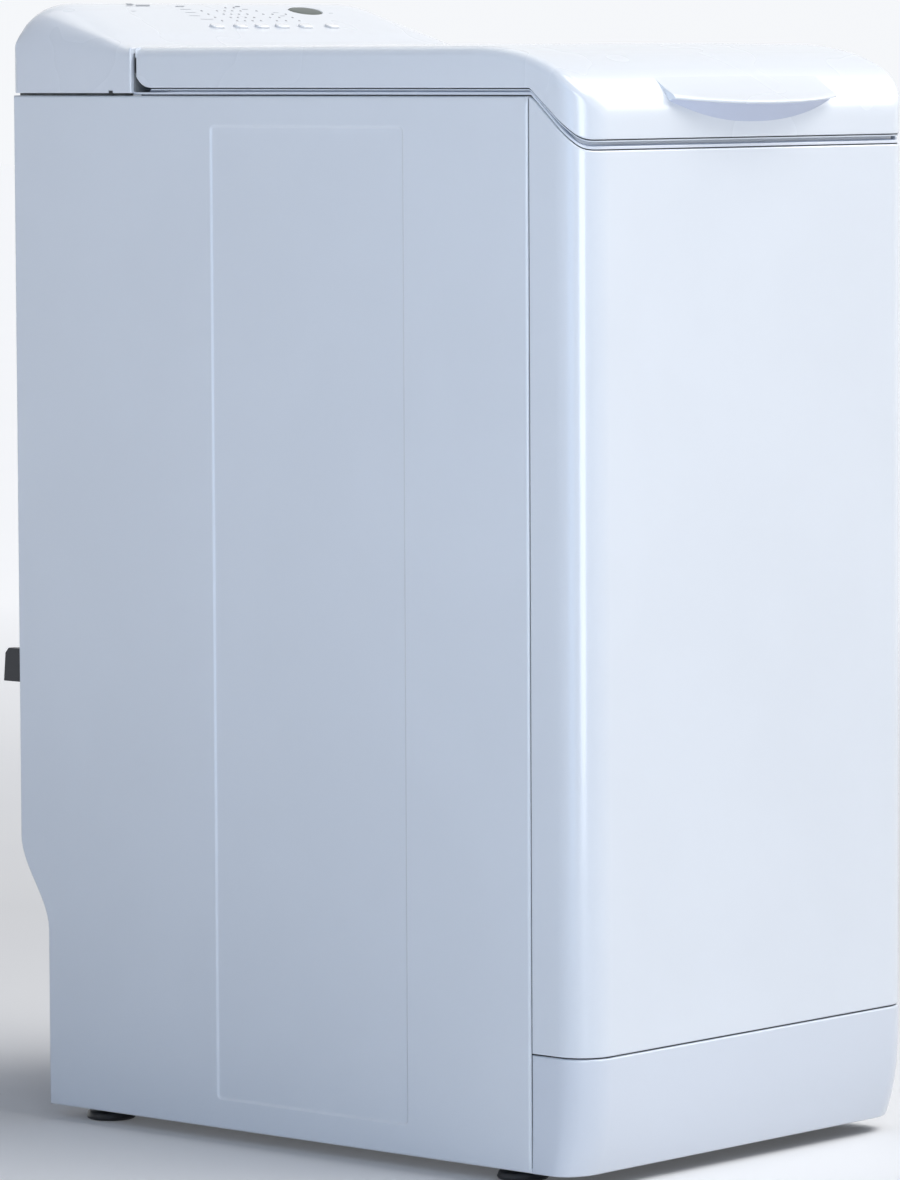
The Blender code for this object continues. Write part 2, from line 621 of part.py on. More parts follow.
def control_panel():
    """A moulded console, open below, with a hole for each button and for the display."""
    xs = [0.0, 0.165, 0.178, 0.189, 0.1965, 0.200]
    xs = [-x for x in xs[:0:-1]] + xs
    ys = [CONSOLE_FRONT, 0.22, 0.265, 0.270, 0.281, 0.291, 0.297, REAR]

    def section(y, inset):
        scale = (HALF_WIDTH - inset) / HALF_WIDTH
        face = min(max(y, CONSOLE_FRONT + inset), REAR - inset)
        over = [(x * scale, face, console_height(x, y) - inset) for x in xs]
        foot = CONSOLE_FOOT - (0.01 if inset else 0.0)
        return [(over[0][0], face, foot), *over, (over[-1][0], face, foot)]

    shell = loft("shell", [section(y, 0.0) for y in ys])
    shell = cut(shell, loft("hollow", [section(y, PLASTIC) for y in ys]))
    for x in BUTTONS.values():
        hole = rounded_box(BUTTON_SIZE[0] / 2 + GAP, BUTTON_SIZE[1] / 2 + GAP, 0.0035, steps=2)
        shell = cut(shell, on_console("button_hole", hole, x, BUTTON_Y, -0.01, 0.01))
    window = oval(DISPLAY_SIZE[0] / 2 + GAP, DISPLAY_SIZE[1] / 2 + GAP)
    shell = cut(shell, on_console("window", window, DISPLAY_X, DISPLAY_Y, -0.01, 0.01))
    return done(shell, "control_panel", "white_plastic")


def button(name):
    x = BUTTONS[name]
    cap = rounded_box(BUTTON_SIZE[0] / 2, BUTTON_SIZE[1] / 2, 0.0034, steps=2)
    flange = rounded_box(BUTTON_SIZE[0] / 2 + 0.002, BUTTON_SIZE[1] / 2 + 0.002, 0.002, steps=1)
    thing = on_console("cap", cap, x, BUTTON_Y, -0.0055, 0.0020)
    thing = join(thing, on_console("flange", flange, x, BUTTON_Y, -0.0045, -0.0032))
    return done(thing, name, "white_plastic", origin=console_point(x, BUTTON_Y))


def display_window():
    pane = oval(DISPLAY_SIZE[0] / 2, DISPLAY_SIZE[1] / 2)
    return done(on_console("pane", pane, DISPLAY_X, DISPLAY_Y, -0.002, 0.0), "display_window", "dark_display")


def control_board():
    board = box("board", (-0.120, 0.195, 0.8330), (0.120, 0.280, 0.8346))
    return done(board, "control_board", "circuit_board", smooth=False)


# --- tub ----------------------------------------------------------------------------------------------------
def tub_half(side):
    """Half of the outer tub: a round wall and end, half of the loading neck and sump, and a spring lug."""

    def at(inner, outer):
        return sorted((side * inner, side * outer))

    axis = (DRUM_Y, DRUM_Z)
    middle = GAP / 2
    low_y, high_y = SUMP_Y
    neck = (at(middle, NECK_X), (DRUM_Y - NECK_Y, DRUM_Y + NECK_Y), (DRUM_Z, NECK_TOP))
    sump = (at(middle, SUMP_X), SUMP_Y, (SUMP_FLOOR, DRUM_Z - 0.2))
    lug = (at(TUB_HALF - 0.002, 0.174), (DRUM_Y - 0.014, DRUM_Y + 0.014), (0.600, SPRING_FOOT - GAP))
    throat_y = (DRUM_Y - NECK_Y + TUB_WALL, DRUM_Y + NECK_Y - TUB_WALL)
    throat = (at(-0.01, NECK_X - TUB_WALL), throat_y, (DRUM_Z, NECK_TOP + 0.01))
    well_y = (low_y + TUB_WALL, high_y - TUB_WALL)
    well = (at(-0.01, SUMP_X - TUB_WALL), well_y, (SUMP_FLOOR + TUB_WALL, DRUM_Z - 0.15))
    half = rod("half", "X", axis, *at(middle, TUB_HALF), TUB_R)
    half = join(half, rod("flange", "X", axis, *at(middle, 0.005), TUB_R + 0.006))
    for name, spans in (("neck", neck), ("sump", sump), ("lug", lug)):
        half = join(half, box(name, *zip(*spans)))
    half = cut(
        half,
        rod("inside", "X", axis, *at(-0.01, TUB_HALF - TUB_WALL), TUB_R - TUB_WALL),
        box("throat", *zip(*throat)),
        box("well", *zip(*well)),
        rod("bearing_hole", "X", axis, *at(0.12, 0.17), 0.030, 24),
    )
    if side > 0:
        half = cut(half, rod("outlet", "Z", (PUMP_X, HOSE_Y), 0.17, 0.2, HOSE_BORE, 16))
    return done(half, "tub_left_half" if side < 0 else "tub_right_half", "tub_plastic")


def bearing_carrier(side):
    profile = [(0.0133, 0.140), (0.0296, 0.140), (0.0296, 0.1503), (0.060, 0.1503), (0.060, 0.1535)]
    profile += [(0.030, 0.1545), (0.024, 0.163), (0.0133, 0.163)]
    carrier = turned("carrier", "X", (DRUM_Y, DRUM_Z), [(r, side * x) for r, x in profile], 20)
    return done(carrier, "bearing_carrier_left" if side < 0 else "bearing_carrier_right", "aluminium")


def counterweight(name, low, high):
    """A concrete block that sits against the front of the tub."""
    block = box("block", (-0.120, -0.285, low), (0.120, -0.160, high))
    block = cut(block, rod("tub_room", "X", (DRUM_Y, DRUM_Z), -0.13, 0.13, TUB_R + 0.008))
    return done(block, name, "concrete", smooth=False)


def spring(side):
    """A coil between the tub's lug and the suspension frame."""
    low, high = SPRING_FOOT + 0.0015, FRAME_Z[0] - 0.0018
    turns, per_turn = 7, 7
    curve = bpy.data.curves.new("spring", "CURVE")
    curve.dimensions = "3D"
    curve.bevel_depth = 0.0014
    curve.bevel_resolution = 0
    curve.use_fill_caps = True
    spline = curve.splines.new("POLY")
    spline.points.add(turns * per_turn)
    for i, point in enumerate(spline.points):
        a = 2 * math.pi * i / per_turn
        z = low + (high - low) * i / (turns * per_turn)
        point.co = (side * SPRING_X + SPRING_R * math.cos(a), DRUM_Y + SPRING_R * math.sin(a), z, 1)
    coil = evaluated(stored("coil", curve))
    return done(coil, "spring_left" if side < 0 else "spring_right", "zinc_steel")


def damper_cylinder(side):
    profile = [(0, 0.0345), (0.013, 0.0345), (0.013, 0.130), (0.0062, 0.130), (0.0062, 0.048), (0, 0.048)]
    tube = turned("tube", "Z", (side * DAMPER_X, DAMPER_Y), profile, 16)
    return done(tube, "damper_cylinder_left" if side < 0 else "damper_cylinder_right", "black_plastic")


def damper_rod(side):
    profile = [(0, 0.060), (0.0057, 0.060), (0.0057, 0.210), (0.0100, 0.210), (0.0100, 0.2225), (0, 0.2225)]
    piston = turned("piston", "Z", (side * DAMPER_X, DAMPER_Y), profile, 16)
    return done(piston, "damper_rod_left" if side < 0 else "damper_rod_right", "zinc_steel")


def heating_element():
    """A hairpin heater lying in the sump."""
    curve = bpy.data.curves.new("heater", "CURVE")
    curve.dimensions = "3D"
    curve.bevel_depth = 0.004
    curve.bevel_resolution = 1
    curve.use_fill_caps = True
    reach, half_gap, bend_x = 0.090, 0.020, -0.060
    bend = arc(bend_x, DRUM_Y, half_gap, 270, 90, 6)
    route = [(reach, DRUM_Y - half_gap), *bend, (reach, DRUM_Y + half_gap)]
    spline = curve.splines.new("POLY")
    spline.points.add(len(route) - 1)
    for point, (x, y) in zip(spline.points, route):
        point.co = (x, y, 0.203, 1)
    return done(evaluated(stored("heater", curve)), "heating_element", "zinc_steel")


# --- drum ---------------------------------------------------------------------------------------------------
def drum_shell():
    """The drum's round wall with its hatch and two lifters."""
    axis = (DRUM_Y, DRUM_Z)
    shell = rod("shell", "X", axis, -DRUM_HALF, DRUM_HALF, DRUM_R, 48)
    shell = cut(shell, rod("inside", "X", axis, -0.2, 0.2, DRUM_R - DRUM_SKIN, 48))
    root, tip = (DRUM_R - 0.001, 0.030), (0.175, 0.006)  # a lifter's foot and tip: how far out, half height
    for side in (-1, 1):
        corners = [(root[0], root[1]), (root[0], -root[1]), (tip[0], -tip[1]), (tip[0], tip[1])]
        lifter = [(DRUM_Y + side * y, DRUM_Z + z) for y, z in corners]
        shell = join(shell, prism("lifter", "X", -0.120, 0.120, lifter))
    edge = HATCH_Y + 0.0045
    hatch = box("hatch", (-HATCH_X, DRUM_Y - edge, DRUM_Z + 0.1), (HATCH_X, DRUM_Y + edge, DRUM_Z + 0.3))
    return done(cut(shell, hatch), "drum_shell", "stainless", origin=(0, DRUM_Y, DRUM_Z))


def drum_end(side):
    """A drum end plate with its pressed hub and the shaft that the bearing carries."""
    reach = 0.185 if side > 0 else 0.172
    profile = [(0, 0.1278), (DRUM_R, 0.1278), (DRUM_R, 0.1293), (0.060, 0.1293), (0.045, 0.1370)]
    profile += [(0.0128, 0.1370), (0.0128, reach), (0, reach)]
    plate = turned("plate", "X", (DRUM_Y, DRUM_Z), [(r, side * x) for r, x in profile], 32)
    name = "drum_end_left" if side < 0 else "drum_end_right"
    return done(plate, name, "stainless", origin=(0, DRUM_Y, DRUM_Z))


def flap_hinge_z():
    return DRUM_Z + math.sqrt(FLAP_HINGE_R**2 - HATCH_Y**2)


def drum_flap(side):
    """One of the hatch's two curved doors, hinged on the hatch's edge, opening into the drum."""
    edge = math.degrees(math.acos(HATCH_Y / DRUM_R))
    middle = math.degrees(math.acos(0.0015 / DRUM_R))
    outer = arc(0, 0, DRUM_R, edge, middle, 8)
    inner = arc(0, 0, DRUM_R - DRUM_SKIN, edge, middle, 8)
    outline = [(DRUM_Y + side * y, DRUM_Z + z) for y, z in outer + inner[::-1]]
    half = HATCH_X - 0.001
    hinge = (DRUM_Y + side * HATCH_Y, flap_hinge_z())
    flap = join(prism("door", "X", -half, half, outline), rod("barrel", "X", hinge, -half, half, 0.0035, 16))
    name = "drum_flap_front" if side < 0 else "drum_flap_rear"
    return done(flap, name, "stainless", origin=(0, *hinge))


def flap_latch():
    """The sprung catch on the rear flap that holds the two flaps shut."""
    low = DRUM_Z + DRUM_R + GAP
    catch = box("catch", (-0.020, DRUM_Y + LATCH_Y[0], low), (0.020, DRUM_Y + LATCH_Y[1], low + 0.003))
    return done(catch, "flap_latch", "black_plastic", origin=(0, DRUM_Y + LATCH_Y[0], low), smooth=False)


def drum_pulley():
    low, high = PULLEY_X
    bore, hub, rim = 0.0132, 0.026, PULLEY_R - 0.010
    profile = [(bore, low - 0.004), (hub, low - 0.004), (hub, low + 0.004), (rim, low + 0.004)]
    profile += [(rim, low - 0.001), (PULLEY_R, low - 0.001), (PULLEY_R, high + 0.001)]
    profile += [(rim, high + 0.001), (rim, high - 0.004)]
    profile += [(hub, high - 0.004), (hub, high + 0.002), (bore, high + 0.002)]
    wheel = turned("wheel", "X", (DRUM_Y, DRUM_Z), profile, 28)
    return done(wheel, "drum_pulley", "aluminium", origin=(PULLEY_X[0], DRUM_Y, DRUM_Z))


def belt_loop(clearance):
    """The outline (y, z) of a loop round both pulleys, this far off them."""
    dy, dz = MOTOR_Y - DRUM_Y, MOTOR_Z - DRUM_Z
    heading = math.degrees(math.atan2(dz, dy))
    spread_angle = math.degrees(math.acos((PULLEY_R - MOTOR_PULLEY_R) / math.hypot(dy, dz)))
    near, far = heading - spread_angle, heading + spread_angle
    large = arc(DRUM_Y, DRUM_Z, PULLEY_R + clearance, far, near + 360, 22)
    small = arc(MOTOR_Y, MOTOR_Z, MOTOR_PULLEY_R + clearance, near, far, 6)
    return large + small


def drive_belt():
    belt = prism("belt", "X", *PULLEY_X, belt_loop(0.0025), belt_loop(0.0005))
    return done(belt, "drive_belt", "rubber")


def motor():
    """The drive motor, hung under the tub by two lugs."""
    body = rod("body", "X", (MOTOR_Y, MOTOR_Z), -0.060, 0.110, MOTOR_R, 32)
    neck = rod("neck", "X", (MOTOR_Y, MOTOR_Z), 0.105, 0.125, 0.020, 24)
    body = join(body, neck)
    for x in (-0.040, 0.070):
        body = join(body, box("lug", (x, MOTOR_Y - 0.007, MOTOR_Z + 0.04), (x + 0.012, MOTOR_Y + 0.013, 0.222)))
    bore = rod("bore", "X", (MOTOR_Y, MOTOR_Z), 0.030, 0.13, 0.0056, 16)
    return done(cut(body, bore), "motor", "zinc_steel")


def motor_pulley():
    low, high = PULLEY_X
    shaft_r, flange = 0.005, 0.0125
    profile = [(0, 0.040), (shaft_r, 0.040), (shaft_r, low - 0.003), (flange, low - 0.003)]
    profile += [(flange, low - 0.001), (MOTOR_PULLEY_R, low - 0.001), (MOTOR_PULLEY_R, high + 0.001)]
    profile += [(flange, high + 0.001)]
    profile += [(flange, high + 0.003), (0, high + 0.003)]
    shaft = turned("shaft", "X", (MOTOR_Y, MOTOR_Z), profile, 14)
    return done(shaft, "motor_pulley", "aluminium", origin=(PULLEY_X[0], MOTOR_Y, MOTOR_Z))


# --- drain --------------------------------------------------------------------------------------------------
def drain_pump():
    """Filter housing and pump in one moulding, with an inlet that the sump hose meets."""
    housing = join(
        rod("filter_tube", "Y", (PUMP_X, PUMP_Z), -0.248, -0.100, PUMP_OUTER_R, 20),
        rod("motor_can", "Y", (PUMP_X, PUMP_Z), -0.110, -0.020, CAN_R, 20),
        rod("inlet", "Z", (PUMP_X, HOSE_Y), PUMP_Z, HOSE_FOOT - GAP, HOSE_R, 14),
        box("foot", (PUMP_X - 0.020, -0.132, 0.0343), (PUMP_X + 0.020, -0.108, PUMP_Z)),
    )
    housing = cut(
        housing,
        rod("filter_bore", "Y", (PUMP_X, PUMP_Z), -0.26, -0.112, PUMP_BORE_R, 20),
        rod("pump_bore", "Y", (PUMP_X, PUMP_Z), -0.12, -0.030, IMPELLER_R, 16),
        rod("inlet_bore", "Z", (PUMP_X, HOSE_Y), PUMP_Z, 0.14, HOSE_BORE, 12),
    )
    return done(housing, "drain_pump", "grey_plastic")


def pump_impeller():
    centre = (PUMP_X, PUMP_Z)
    hub = rod("hub", "Y", centre, -0.104, -0.080, 0.006, 12)
    blade_r, half = IMPELLER_R - 0.003, 0.001
    for reach_x, reach_z in ((blade_r, half), (half, blade_r)):
        near = (PUMP_X - reach_x, -0.102, PUMP_Z - reach_z)
        far = (PUMP_X + reach_x, -0.086, PUMP_Z + reach_z)
        hub = join(hub, box("blade", near, far))
    return done(hub, "pump_impeller", "black_plastic", origin=(PUMP_X, -0.09, PUMP_Z), smooth=False)


def filter_cap():
    """The screw-in filter behind the plinth, with a grip bar across it."""
    plug, flange, seat, face = PUMP_BORE_R - 0.0007, PUMP_OUTER_R + 0.002, -0.2484, -0.255
    profile = [(0, -0.205), (plug, -0.205), (plug, seat), (flange, seat), (flange, face), (0, face)]
    cap = turned("cap", "Y", (PUMP_X, PUMP_Z), profile, 20)
    grip = box("grip", (PUMP_X - 0.028, -0.266, PUMP_Z - 0.005), (PUMP_X + 0.028, face + 0.001, PUMP_Z + 0.005))
    return done(join(cap, grip), "filter_cap", "grey_plastic", origin=(PUMP_X, seat, PUMP_Z))


def sump_hose():
    """A rubber bellows from the sump down to the pump."""
    top = SUMP_FLOOR - GAP
    folds = 4
    pitch = (top - HOSE_FOOT) / folds
    outside = []
    for i in range(folds):
        z = HOSE_FOOT + i * pitch
        outside += [(HOSE_R, z), (HOSE_R + 0.004, z + pitch / 2)]
    outside.append((HOSE_R, top))
    profile = [*outside, (HOSE_R - 0.003, top), (HOSE_R - 0.003, HOSE_FOOT)]
    return done(turned("bellows", "Z", (PUMP_X, HOSE_Y), profile, 14), "sump_hose", "rubber")


# --- the whole machine --------------------------------------------------------------------------------------
clear_scene()
MACHINE = bpy.data.collections.new("top_load_washing_machine")
bpy.context.scene.collection.children.link(MACHINE)

front_panel()
plinth()
rear_panel()
base_frame()
suspension_frame()
top_deck()
loading_gasket()
door_lock()
detergent_box()
softener_flap()
lid_shell()
lid_liner()
lid_handle()
control_panel()
display_window()
control_board()
inlet_valve()
cord_gland()
hose_holder()
counterweight("counterweight_upper", 0.600, 0.735)
counterweight("counterweight_lower", 0.250, 0.360)
heating_element()
drum_shell()
flap_latch()
drum_pulley()
drive_belt()
motor()
motor_pulley()
drain_pump()
pump_impeller()
filter_cap()
sump_hose()
for each in FEET:
    foot(each)
for each in BUTTONS:
    button(each)
for each in (-1, 1):
    side_panel(each)
    lid_hinge(each)
    tub_half(each)
    bearing_carrier(each)
    spring(each)
    damper_cylinder(each)
    damper_rod(each)
    drum_end(each)
    drum_flap(each)
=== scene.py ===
"""The looks of a slim top-loading washing machine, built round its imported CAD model.

Metres, in the model's own frame: +X is the machine's right, the front faces -Y and +Z is up.
"""

import json
import math

import bmesh
import bpy
from mathutils import Matrix, Vector


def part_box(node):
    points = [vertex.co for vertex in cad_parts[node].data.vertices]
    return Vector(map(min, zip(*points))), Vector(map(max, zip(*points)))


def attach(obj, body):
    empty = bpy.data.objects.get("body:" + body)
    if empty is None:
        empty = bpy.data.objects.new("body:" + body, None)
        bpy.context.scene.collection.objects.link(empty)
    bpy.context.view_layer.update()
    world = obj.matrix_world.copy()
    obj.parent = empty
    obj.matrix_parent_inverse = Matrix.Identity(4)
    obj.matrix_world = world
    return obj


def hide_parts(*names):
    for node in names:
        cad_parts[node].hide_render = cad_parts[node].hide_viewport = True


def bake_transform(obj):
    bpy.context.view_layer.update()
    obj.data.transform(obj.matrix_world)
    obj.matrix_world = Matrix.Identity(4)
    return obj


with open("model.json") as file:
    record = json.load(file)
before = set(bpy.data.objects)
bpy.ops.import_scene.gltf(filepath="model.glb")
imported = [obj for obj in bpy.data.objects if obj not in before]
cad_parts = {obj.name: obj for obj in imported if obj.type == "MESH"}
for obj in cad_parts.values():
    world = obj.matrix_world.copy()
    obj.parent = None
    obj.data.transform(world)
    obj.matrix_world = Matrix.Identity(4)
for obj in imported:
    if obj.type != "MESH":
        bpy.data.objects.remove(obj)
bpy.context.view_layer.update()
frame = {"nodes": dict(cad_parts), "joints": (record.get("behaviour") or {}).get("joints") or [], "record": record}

# --- places taken from the frame ---
SIDE_LOW, SIDE_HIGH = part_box("left_side_panel")
FRONT_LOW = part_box("front_panel")[0]
LID_LOW, LID_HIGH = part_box("lid_shell")
DECK_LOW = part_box("top_deck")[0]
CONSOLE_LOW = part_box("control_panel")[0]
PLINTH_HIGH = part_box("plinth")[1]

HALF = LID_HIGH.x  # half the machine's width
FRONT, REAR = FRONT_LOW.y, SIDE_HIGH.y
SEAM = SIDE_LOW.y  # where the side panels meet the front wrap
SKIRT, SIDE_TOP = SIDE_LOW.z, SIDE_HIGH.z
MM = 0.001
GAP = 0.3 * MM  # between parts that lie on each other
SHEET, WALL = 1.0 * MM, 2.5 * MM  # thickness of the steel panels and of the mouldings
FRONT_TOP = DECK_LOW.z - GAP

CORNER_R = 29 * MM  # upright front corners of the wrap and the lid
DECK_STEP_Y, LID_STEP_Y = SEAM - 0.5 * MM, SEAM + 0.5 * MM
LID_TOP, LID_SIDE, LID_FRONT = LID_HIGH.z, 0.8295, LID_LOW.z
LID_REAR, LID_HEEL_R, LID_LIP = LID_HIGH.y, 17.5 * MM, 0.8575
LID_CURVE_Y, LID_CURVE_Z = -0.190, 0.806
CROWN = 1.5 * MM
CONSOLE_FRONT, CONSOLE_FOOT = CONSOLE_LOW.y, CONSOLE_LOW.z - 1 * MM
CREST_Y, CREST_Z, SHOULDER, CONSOLE_EDGE, CONSOLE_END = 0.270, 0.8975, 0.852, 33 * MM, 50 * MM
SLOPE = math.atan2(CREST_Z - LID_TOP, CREST_Y - CONSOLE_FRONT)
RECESS_DEPTH, RECESS_LOW, RECESS_HIGH = 30.5 * MM, 0.154, 0.228
PRESSING_HALF, PRESSING_Y, PRESSING_Z = (101.5 * MM, 383 * MM), -18.5 * MM, 0.418
HANDLE_HALF, HANDLE_REACH = 98 * MM, 18.5 * MM
MOUTH_X, MOUTH_Y, MOUTH_MIDDLE = 138 * MM, 130 * MM, -15 * MM
BUTTON_Y, DISPLAY_Y = 0.214, 0.252
SHARP = math.radians(38)  # edges that turn by more than this stay sharp

QUARTER = [math.radians(a) for a in (0, 18, 36, 54, 72, 90)]  # stops round a rounded edge


# --- small sums ---
def spread(low, high, count):
    return [low + (high - low) * i / (count - 1) for i in range(count)]


def in_mm(pairs):
    """Pairs of millimetres as pairs of metres."""
    return [(a * MM, b * MM) for a, b in pairs]


def on_side(side, near, far):
    """Two places on one side of the machine, with the lower x first."""
    return sorted((side * near, side * far))


def smooth(t):
    t = min(max(t, 0.0), 1.0)
    return t * t * (3 - 2 * t)


def rounding(radius, stops=QUARTER):
    """(distance in, drop) of a quarter-round edge, from the flat top out to the upright side."""
    return [(radius * (1 - math.sin(a)), radius * (1 - math.cos(a))) for a in stops]


def step_drop(s):
    """How far a stepped edge has dropped, 0 to 1, at a share s of the way from its start to the front."""
    t, turn = (s - 0.05) * 1.24, 0.12
    if t < 1 - turn:
        return max(t, 0.0)
    t = min(t, 1 + turn)
    return t - (t - 1 + turn) ** 2 / (4 * turn)


def step_down(y, start, high, low):
    """Height of an edge that is level behind start, drops in a straight ramp and turns level at the front."""
    return high - (high - low) * step_drop((start - y) / (start - FRONT))


def rear_line(z):
    """How far back the cabinet reaches at a height: the skirting recess eases in near the floor."""
    return REAR - RECESS_DEPTH * smooth((RECESS_HIGH - z) / (RECESS_HIGH - RECESS_LOW))


# --- making pieces ---
class Shape:
    """Gathers surfaces into one mesh."""

    def __init__(self):
        self.cage = bmesh.new()

    def skin(self, rows, closed=False, ring=False):
        """Quads between rows of points. closed joins each row's two ends,
        ring joins the last row to the first."""
        grid = [[self.cage.verts.new(p) for p in row] for row in rows]
        pairs = list(zip(grid, grid[1:])) + ([(grid[-1], grid[0])] if ring else [])
        for here, there in pairs:
            count = len(here)
            for i in range(count if closed else count - 1):
                j = (i + 1) % count
                self.cage.faces.new((here[i], here[j], there[j], there[i]))
        return grid

    def cap(self, points):
        self.cage.faces.new([self.cage.verts.new(p) for p in points])

    def block(self, low, high, edge=0.0):
        """A box with rounded edges."""
        made = bmesh.ops.create_cube(self.cage, size=1.0)["verts"]
        size = [b - a for a, b in zip(low, high)]
        middle = [(a + b) / 2 for a, b in zip(low, high)]
        bmesh.ops.scale(self.cage, vec=size, verts=made)
        bmesh.ops.translate(self.cage, vec=middle, verts=made)
        if edge:
            edges = list(dict.fromkeys(e for v in made for e in v.link_edges))
            bmesh.ops.bevel(self.cage, geom=edges, offset=edge, segments=3, profile=0.5, affect="EDGES")

    def turned(self, centre, axis, profile, sides=48):
        """A profile of (radius, height along the axis) turned about it. A radius of 0 closes the end."""
        place = Matrix.Translation(centre) @ Vector(axis).to_track_quat("Z", "Y").to_matrix().to_4x4()
        rows = []
        for radius, along in profile:
            ring = [2 * math.pi * i / sides for i in range(sides)]
            rows.append([place @ Vector((radius * math.cos(a), radius * math.sin(a), along)) for a in ring])
        self.skin(rows, closed=True)


def piece(name, shape, body, slot, finish, nodes=(), thick=0.0, cuts=(), bevel=0.0, face=None):
    """A finished object from a shape: it rides on a body, takes a finish and may stand for CAD nodes.
    thick gives a sheet its thickness, cuts are shapes taken out of it, and face is the way a sheet looks."""
    thing = stored(name, shape, face)
    thing.data.materials.append(finish)
    if thick:
        shell = thing.modifiers.new("thickness", "SOLIDIFY")
        shell.thickness = thick
        shell.offset = -1
    if cuts:
        tools = [stored("tool", tool) for tool in cuts]
        for tool in tools:
            step = thing.modifiers.new("cut", "BOOLEAN")
            step.operation = "DIFFERENCE"
            step.object = tool
        bpy.context.view_layer.update()
        made = bpy.data.meshes.new_from_object(thing.evaluated_get(bpy.context.evaluated_depsgraph_get()))
        thing.modifiers.clear()
        thing.data = made
        for tool in tools:
            bpy.data.objects.remove(tool, do_unlink=True)
    thing.data.shade_smooth()
    thing.data.set_sharp_from_angle(angle=SHARP)
    soften(thing, bevel)
    if body is not None:
        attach(thing, body)
    if nodes:
        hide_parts(*nodes)
    return thing


def stored(name, shape, face=None):
    """The shape as an object, welded and with its normals outwards, or all towards face for an open sheet."""
    cage = shape.cage
    bmesh.ops.remove_doubles(cage, verts=cage.verts, dist=2e-6)
    bmesh.ops.dissolve_degenerate(cage, edges=cage.edges, dist=1e-7)
    bmesh.ops.recalc_face_normals(cage, faces=cage.faces)
    if face is not None and sum((f.normal * f.calc_area() for f in cage.faces), Vector()).dot(face) < 0:
        bmesh.ops.reverse_faces(cage, faces=cage.faces)
    mesh = bpy.data.meshes.new(name)
    cage.to_mesh(mesh)
    cage.free()
    thing = bpy.data.objects.new(name, mesh)
    bpy.context.scene.collection.objects.link(thing)
    return thing


def soften(thing, bevel=0.0, weld=False):
    """Round a thing's sharp edges and weight its normals.
    weld joins the split vertices of a CAD node first."""
    if weld:
        thing.modifiers.new("weld", "WELD").merge_threshold = 1e-6
    if bevel:
        edge = thing.modifiers.new("edges", "BEVEL")
        edge.width = bevel
        edge.segments = 2
        edge.limit_method = "ANGLE"
        edge.angle_limit = SHARP
    thing.modifiers.new("normals", "WEIGHTED_NORMAL").keep_sharp = True


# --- materials ---
class Finish:
    """Builds one procedural material: colour drift, roughness drift and relief, at real scales."""

    def __init__(self, name, colour, rough, metallic=0.0, coat=0.0, specular=0.5):
        self.material = bpy.data.materials.new(name)
        self.material.use_nodes = True
        self.nodes, self.links = self.material.node_tree.nodes, self.material.node_tree.links
        self.shader = self.nodes["Principled BSDF"]
        self.colour, self.rough = colour, rough
        self.sockets(Metallic=metallic, Roughness=rough, Base_Color=(*colour, 1.0))
        self.sockets(Coat_Weight=coat, Coat_Roughness=0.12, Specular_IOR_Level=specular)
        self.place = self.nodes.new("ShaderNodeTexCoord").outputs["Object"]
        self.heights = []

    def sockets(self, node=None, **inputs):
        """Set sockets of a node, or of the shader, to plain values."""
        for key, value in inputs.items():
            (node or self.shader).inputs[key.replace("_", " ")].default_value = value

    def add(self, kind, **inputs):
        """A new node with some of its sockets set."""
        node = self.nodes.new(kind)
        self.sockets(node, **inputs)
        return node

    def stretched(self, scale):
        """Object coordinates, stretched per axis."""
        node = self.add("ShaderNodeMapping", Scale=scale)
        self.links.new(self.place, node.inputs["Vector"])
        return node.outputs["Vector"]

    def noise(self, size, detail=3.0, stretch=None):
        """Noise whose features are about this many metres across."""
        node = self.add("ShaderNodeTexNoise", Scale=1 / size, Detail=detail)
        self.links.new(self.stretched(stretch) if stretch else self.place, node.inputs["Vector"])
        return node.outputs["Fac"]

    def cells(self, size):
        """Distance from the middle of cells about this many metres across."""
        node = self.add("ShaderNodeTexVoronoi", Scale=1 / size)
        self.links.new(self.place, node.inputs["Vector"])
        return node.outputs["Distance"]

    def ramp(self, value, low, high, low_at=0.35, high_at=0.65):
        """A smooth step from low to high as the value goes from low_at to high_at."""
        node = self.add("ShaderNodeMapRange", From_Min=low_at, From_Max=high_at, To_Min=low, To_Max=high)
        node.interpolation_type = "SMOOTHSTEP"
        self.links.new(value, node.inputs["Value"])
        return node.outputs["Result"]

    def drift(self, value, other):
        """Mix the base colour towards another one by value."""
        node = self.nodes.new("ShaderNodeMix")
        node.data_type = "RGBA"
        node.inputs["A"].default_value = (*self.colour, 1.0)
        node.inputs["B"].default_value = (*other, 1.0)
        self.links.new(value, node.inputs["Factor"])
        self.links.new(node.outputs["Result"], self.shader.inputs["Base Color"])
        return self

    def gloss(self, value, low, high):
        self.links.new(self.ramp(value, low, high), self.shader.inputs["Roughness"])
        return self

    def relief(self, value, depth, strength=1.0):
        """Bump of this depth in metres, over whatever relief is there already."""
        node = self.add("ShaderNodeBump", Strength=strength, Distance=depth)
        self.links.new(value, node.inputs["Height"])
        if self.heights:
            self.links.new(self.heights[-1], node.inputs["Normal"])
        self.heights.append(node.outputs["Normal"])
        self.links.new(node.outputs["Normal"], self.shader.inputs["Normal"])
        return self


def shade(colour, factor):
    return tuple(min(c * factor, 1.0) for c in colour)


def enamel(name, colour, rough=0.30):
    """Stoved enamel on sheet steel: a hard white film with a faint orange peel."""
    made = Finish(name, colour, rough, coat=1.0)
    made.drift(made.ramp(made.noise(0.11, 2.0), 0.0, 1.0), shade(colour, 0.985))
    made.gloss(made.noise(0.03, 3.0), rough - 0.015, rough + 0.02)
    return made.relief(made.noise(0.0016, 2.0), 0.004 * MM).material


